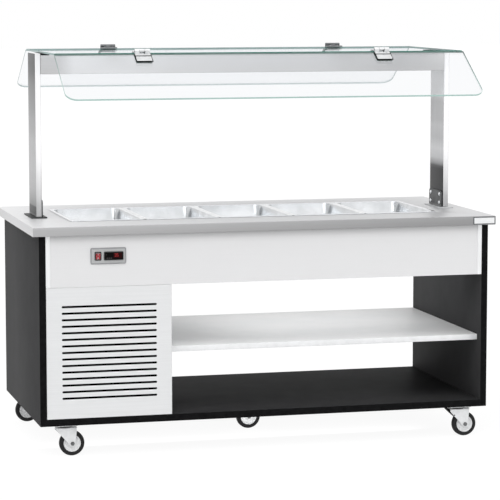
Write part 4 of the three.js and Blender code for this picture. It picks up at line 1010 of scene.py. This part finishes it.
caster_top = 0.1347
caster_plate_size = (0.050, 0.042, 0.008)     # half its length and width, and its corners' radius
crown_top = -0.0133
axle_x, axle_z = 0.028, -0.0817
pedal_pin = (-0.0210, 0, -0.0409)
wheel_radius, tyre_half, hub_radius = 0.053, 0.014, 0.036
plate_profile = [(0, 0), (0, -0.0034), (0.0006, -0.004)]
race_profile = [(0.025, -0.0045), (0.029, -0.0075), (0.0295, -0.0088), (0.029, -0.010), (0.026, -0.013)]
plate_screw_profile = [(0.0068, -0.0042), (0.0066, -0.0062), (0.004, -0.0076)]
plate_screw_places = [(x, y, 0) for x in (-0.039, 0.039) for y in (-0.031, 0.031)]
nut_profile = [(0.0088, 0.0221), (0.009, 0.0226), (0.009, 0.0262), (0.0082, 0.0268)]
tyre_side = [(hub_radius, -0.0125), (hub_radius + 0.001, -0.0138), (0.046, -tyre_half), (0.0495, -0.0132),
             (0.052, -0.0108), (wheel_radius, -0.0072)]
hub_side = [(0.0054, -0.017), (0.0135, -0.017), (0.015, -0.0158), (0.0158, -0.0125), (0.0175, -0.0105),
            (0.029, -0.0095), (0.0305, -0.0105), (0.0325, -0.0135), (0.035, -0.0142), (hub_radius, -0.0136)]
zinc_plate = surface("zinc_plate", 0.38, (226, 227, 228), (238, 239, 240), 45, (500, 0.00004), metallic=0.4)
hub_grey = surface("hub_grey", 0.45, (226, 227, 228), (236, 237, 238), 60)
tyre_black = surface("tyre_black", 0.65, (20, 20, 21), (28, 28, 29), 70, (700, 0.00008), specular=0.3)
# The nuts and screws are a dark steel, darker so as to stand for the shade at the hub's centre: partly
# painted shade.
nut_steel_painted_shade = surface("nut_steel_painted_shade", 0.3, (92, 93, 94), (116, 117, 118), 150, metallic=0.7)
race_black = surface("race_black", 0.5, (26, 26, 27), (38, 38, 39), 60)
pedal_black = surface("pedal_black", 0.6, (9, 9, 10), (15, 15, 16), 80, (600, 0.00006), specular=0.1)


def turned(profile, count, closed=True):
    """A profile of (radius, height) turned about the wheel's axle."""
    mesh = skin([ring(radius, height, count) for radius, height in profile], closed=closed)
    mesh.transform(Matrix.Rotation(math.radians(90), 4, "X"))
    return mesh


def both_sides(side):
    """A wheel's profile from that of its one side."""
    return side + [(radius, -height) for radius, height in reversed(side)]


def fork_parts():
    """A pressed fork in its swivel's frame: a bent crown over two cheeks."""
    outer, gauge, bend = 0.022, 0.003, 0.0055
    rear, front, eye_radius = -0.040, 0.047, 0.012
    low = crown_top - 0.011
    profile = [(-outer, low), (-outer, crown_top - bend)]
    for step in range(1, 5):
        angle = math.radians(180 - 90 * step / 5)
        profile.append((-outer + bend + bend * math.cos(angle), crown_top - bend + bend * math.sin(angle)))
    profile += [(-outer + bend, crown_top)]
    profile += [(-y, z) for y, z in reversed(profile)]
    inner = [(outer - gauge, low), (outer - gauge, crown_top - 0.006), (outer - 0.006, crown_top - 0.004)]
    profile += inner + [(-y, z) for y, z in reversed(inner)]
    crown = skin([[Vector((x, y, z)) for y, z in profile] for x in (rear, front)])
    eye = [(axle_x + eye_radius * math.cos(a), axle_z + eye_radius * math.sin(a))
           for a in [math.radians(8 - 160 * step / 12) for step in range(13)]]
    cheek = [(rear, low), (front, low), *eye]
    return [crown, drawn_back(cheek, -outer, gauge - outer), drawn_back(cheek, outer - gauge, outer)]


def pedal_parts():
    """A brake pedal about its pin: a barrel, and a tread that rises to the front with four ribs."""
    half, tilt = 0.018, Matrix.Rotation(-math.radians(137), 4, "Y")
    section = [(0, -0.003), (0.036, -0.003), (0.048, -0.002), (0.048, 0.003), (0.036, 0.0042), (0, 0.0042)]
    parts = [drawn_back(eased(section, 0.0015, 2), -half, half)]
    parts += [soft_block((x, -half + 0.004, 0.0036), (x + 0.0022, half - 0.004, 0.0050), 0.0005, 1)
              for x in (0.016, 0.023, 0.030, 0.037)]
    for part in parts:
        part.transform(tilt)
    return parts + [turned([(0.0046, -half), (0.0046, half)], 20, closed=False),
                    turned([(0.0025, -0.023), (0.0025, 0.023)], 12, closed=False)]


caster_headings = {"front_left": 0, "front_right": 0, "rear_left": 180, "rear_right": 0, "centre": 0}
for name, heading in caster_headings.items():
    low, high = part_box(f"{name}_caster_plate")
    mount = Matrix.Translation(((low.x + high.x) / 2, (low.y + high.y) / 2, caster_top))
    swivel = mount @ Matrix.Rotation(math.radians(heading), 4, "Z")
    axle = swivel @ Matrix.Translation((axle_x, 0, axle_z))

    top_plate = skin([rounded_loop(*(size - inset for size in caster_plate_size), z, 6)
                      for inset, z in plate_profile])
    race = skin([ring(radius, z, 36) for radius, z in race_profile])
    plate = fitted(f"{name}_plate_and_race", [top_plate, race], "cabinet", "zinc", zinc_plate, race_black,
                   place=mount, instead_of=f"{name}_caster_plate")
    second_finish(plate, lambda face: face.center.z < caster_top - 0.0043)
    fitted(f"{name}_plate_screws", heads(plate_screw_profile, 16, plate_screw_places), "cabinet", "zinc",
           nut_steel_painted_shade, place=mount)
    fitted(f"{name}_fork_pressed", fork_parts(), f"{name}_swivel", "zinc", zinc_plate, place=swivel,
           instead_of=f"{name}_fork")

    bolt = [turned([(0.005, -0.0225), (0.005, 0.0225)], 16, closed=False)]
    for side in (-1, 1):
        nut = [(radius, side * height) for radius, height in nut_profile]
        bolt.append(turned(nut, 6, closed=False))
    fitted(f"{name}_axle_bolt", bolt, f"{name}_swivel", "zinc", nut_steel_painted_shade, place=axle, crease=25)
    fitted(f"{name}_tyre", [turned(both_sides(tyre_side), 64)], f"{name}_wheel_body", "tyre_rubber",
           tyre_black, place=axle, instead_of=f"{name}_wheel")
    fitted(f"{name}_hub", [turned(both_sides(hub_side), 48)], f"{name}_wheel_body", "zinc", hub_grey,
           place=axle, crease=40)
    if name in ("front_right", "rear_right"):
        fitted(f"{name}_pedal_ribbed", pedal_parts(), f"{name}_pedal", "black_paint", pedal_black,
               place=swivel @ Matrix.Translation(pedal_pin), instead_of=f"{name}_brake_pedal")

# ---------- Machine bay ----------
# Behind the louvres: a black hermetic compressor on rubber feet, a finned aluminium condenser
# with its shroud and fan. The power inlet is a black moulding screwed to the rear panel.

dressed("compressor", surface("compressor_enamel", 0.3, (22, 23, 24), (31, 32, 33), 18, (160, 0.0001)))
# The condenser's near-black coating is also painted shade, so that the bay looks dark through the slots.
dressed("condenser", surface("condenser_coating_and_shade", 0.7, (18, 18, 19), (25, 25, 26), 8,
                             ((800, 800, 60), 0.0001), specular=0.1))
dressed("condenser_fan", surface("fan_black", 0.4, (24, 25, 27), (34, 35, 37), 30, (300, 0.00005)))
dressed("power_inlet", surface("inlet_black", 0.5, (20, 20, 21), (28, 28, 29), 50, (1200, 0.00004)))

pin_inset = 0.0012
low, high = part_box("power_inlet")
inlet_x, inlet_z = (low.x + high.x) / 2, (low.z + high.z) / 2
pins = [soft_block((inlet_x + x - 0.001, low.y + pin_inset, inlet_z + z - 0.002),
                   (inlet_x + x + 0.001, high.y - pin_inset, inlet_z + z + 0.002), 0.0003, 1)
        for x, z in [(-0.007, -0.003), (0.007, -0.003), (0, 0.004)]]
fitted("inlet_pins", pins, "cabinet", "chrome", screw_steel)
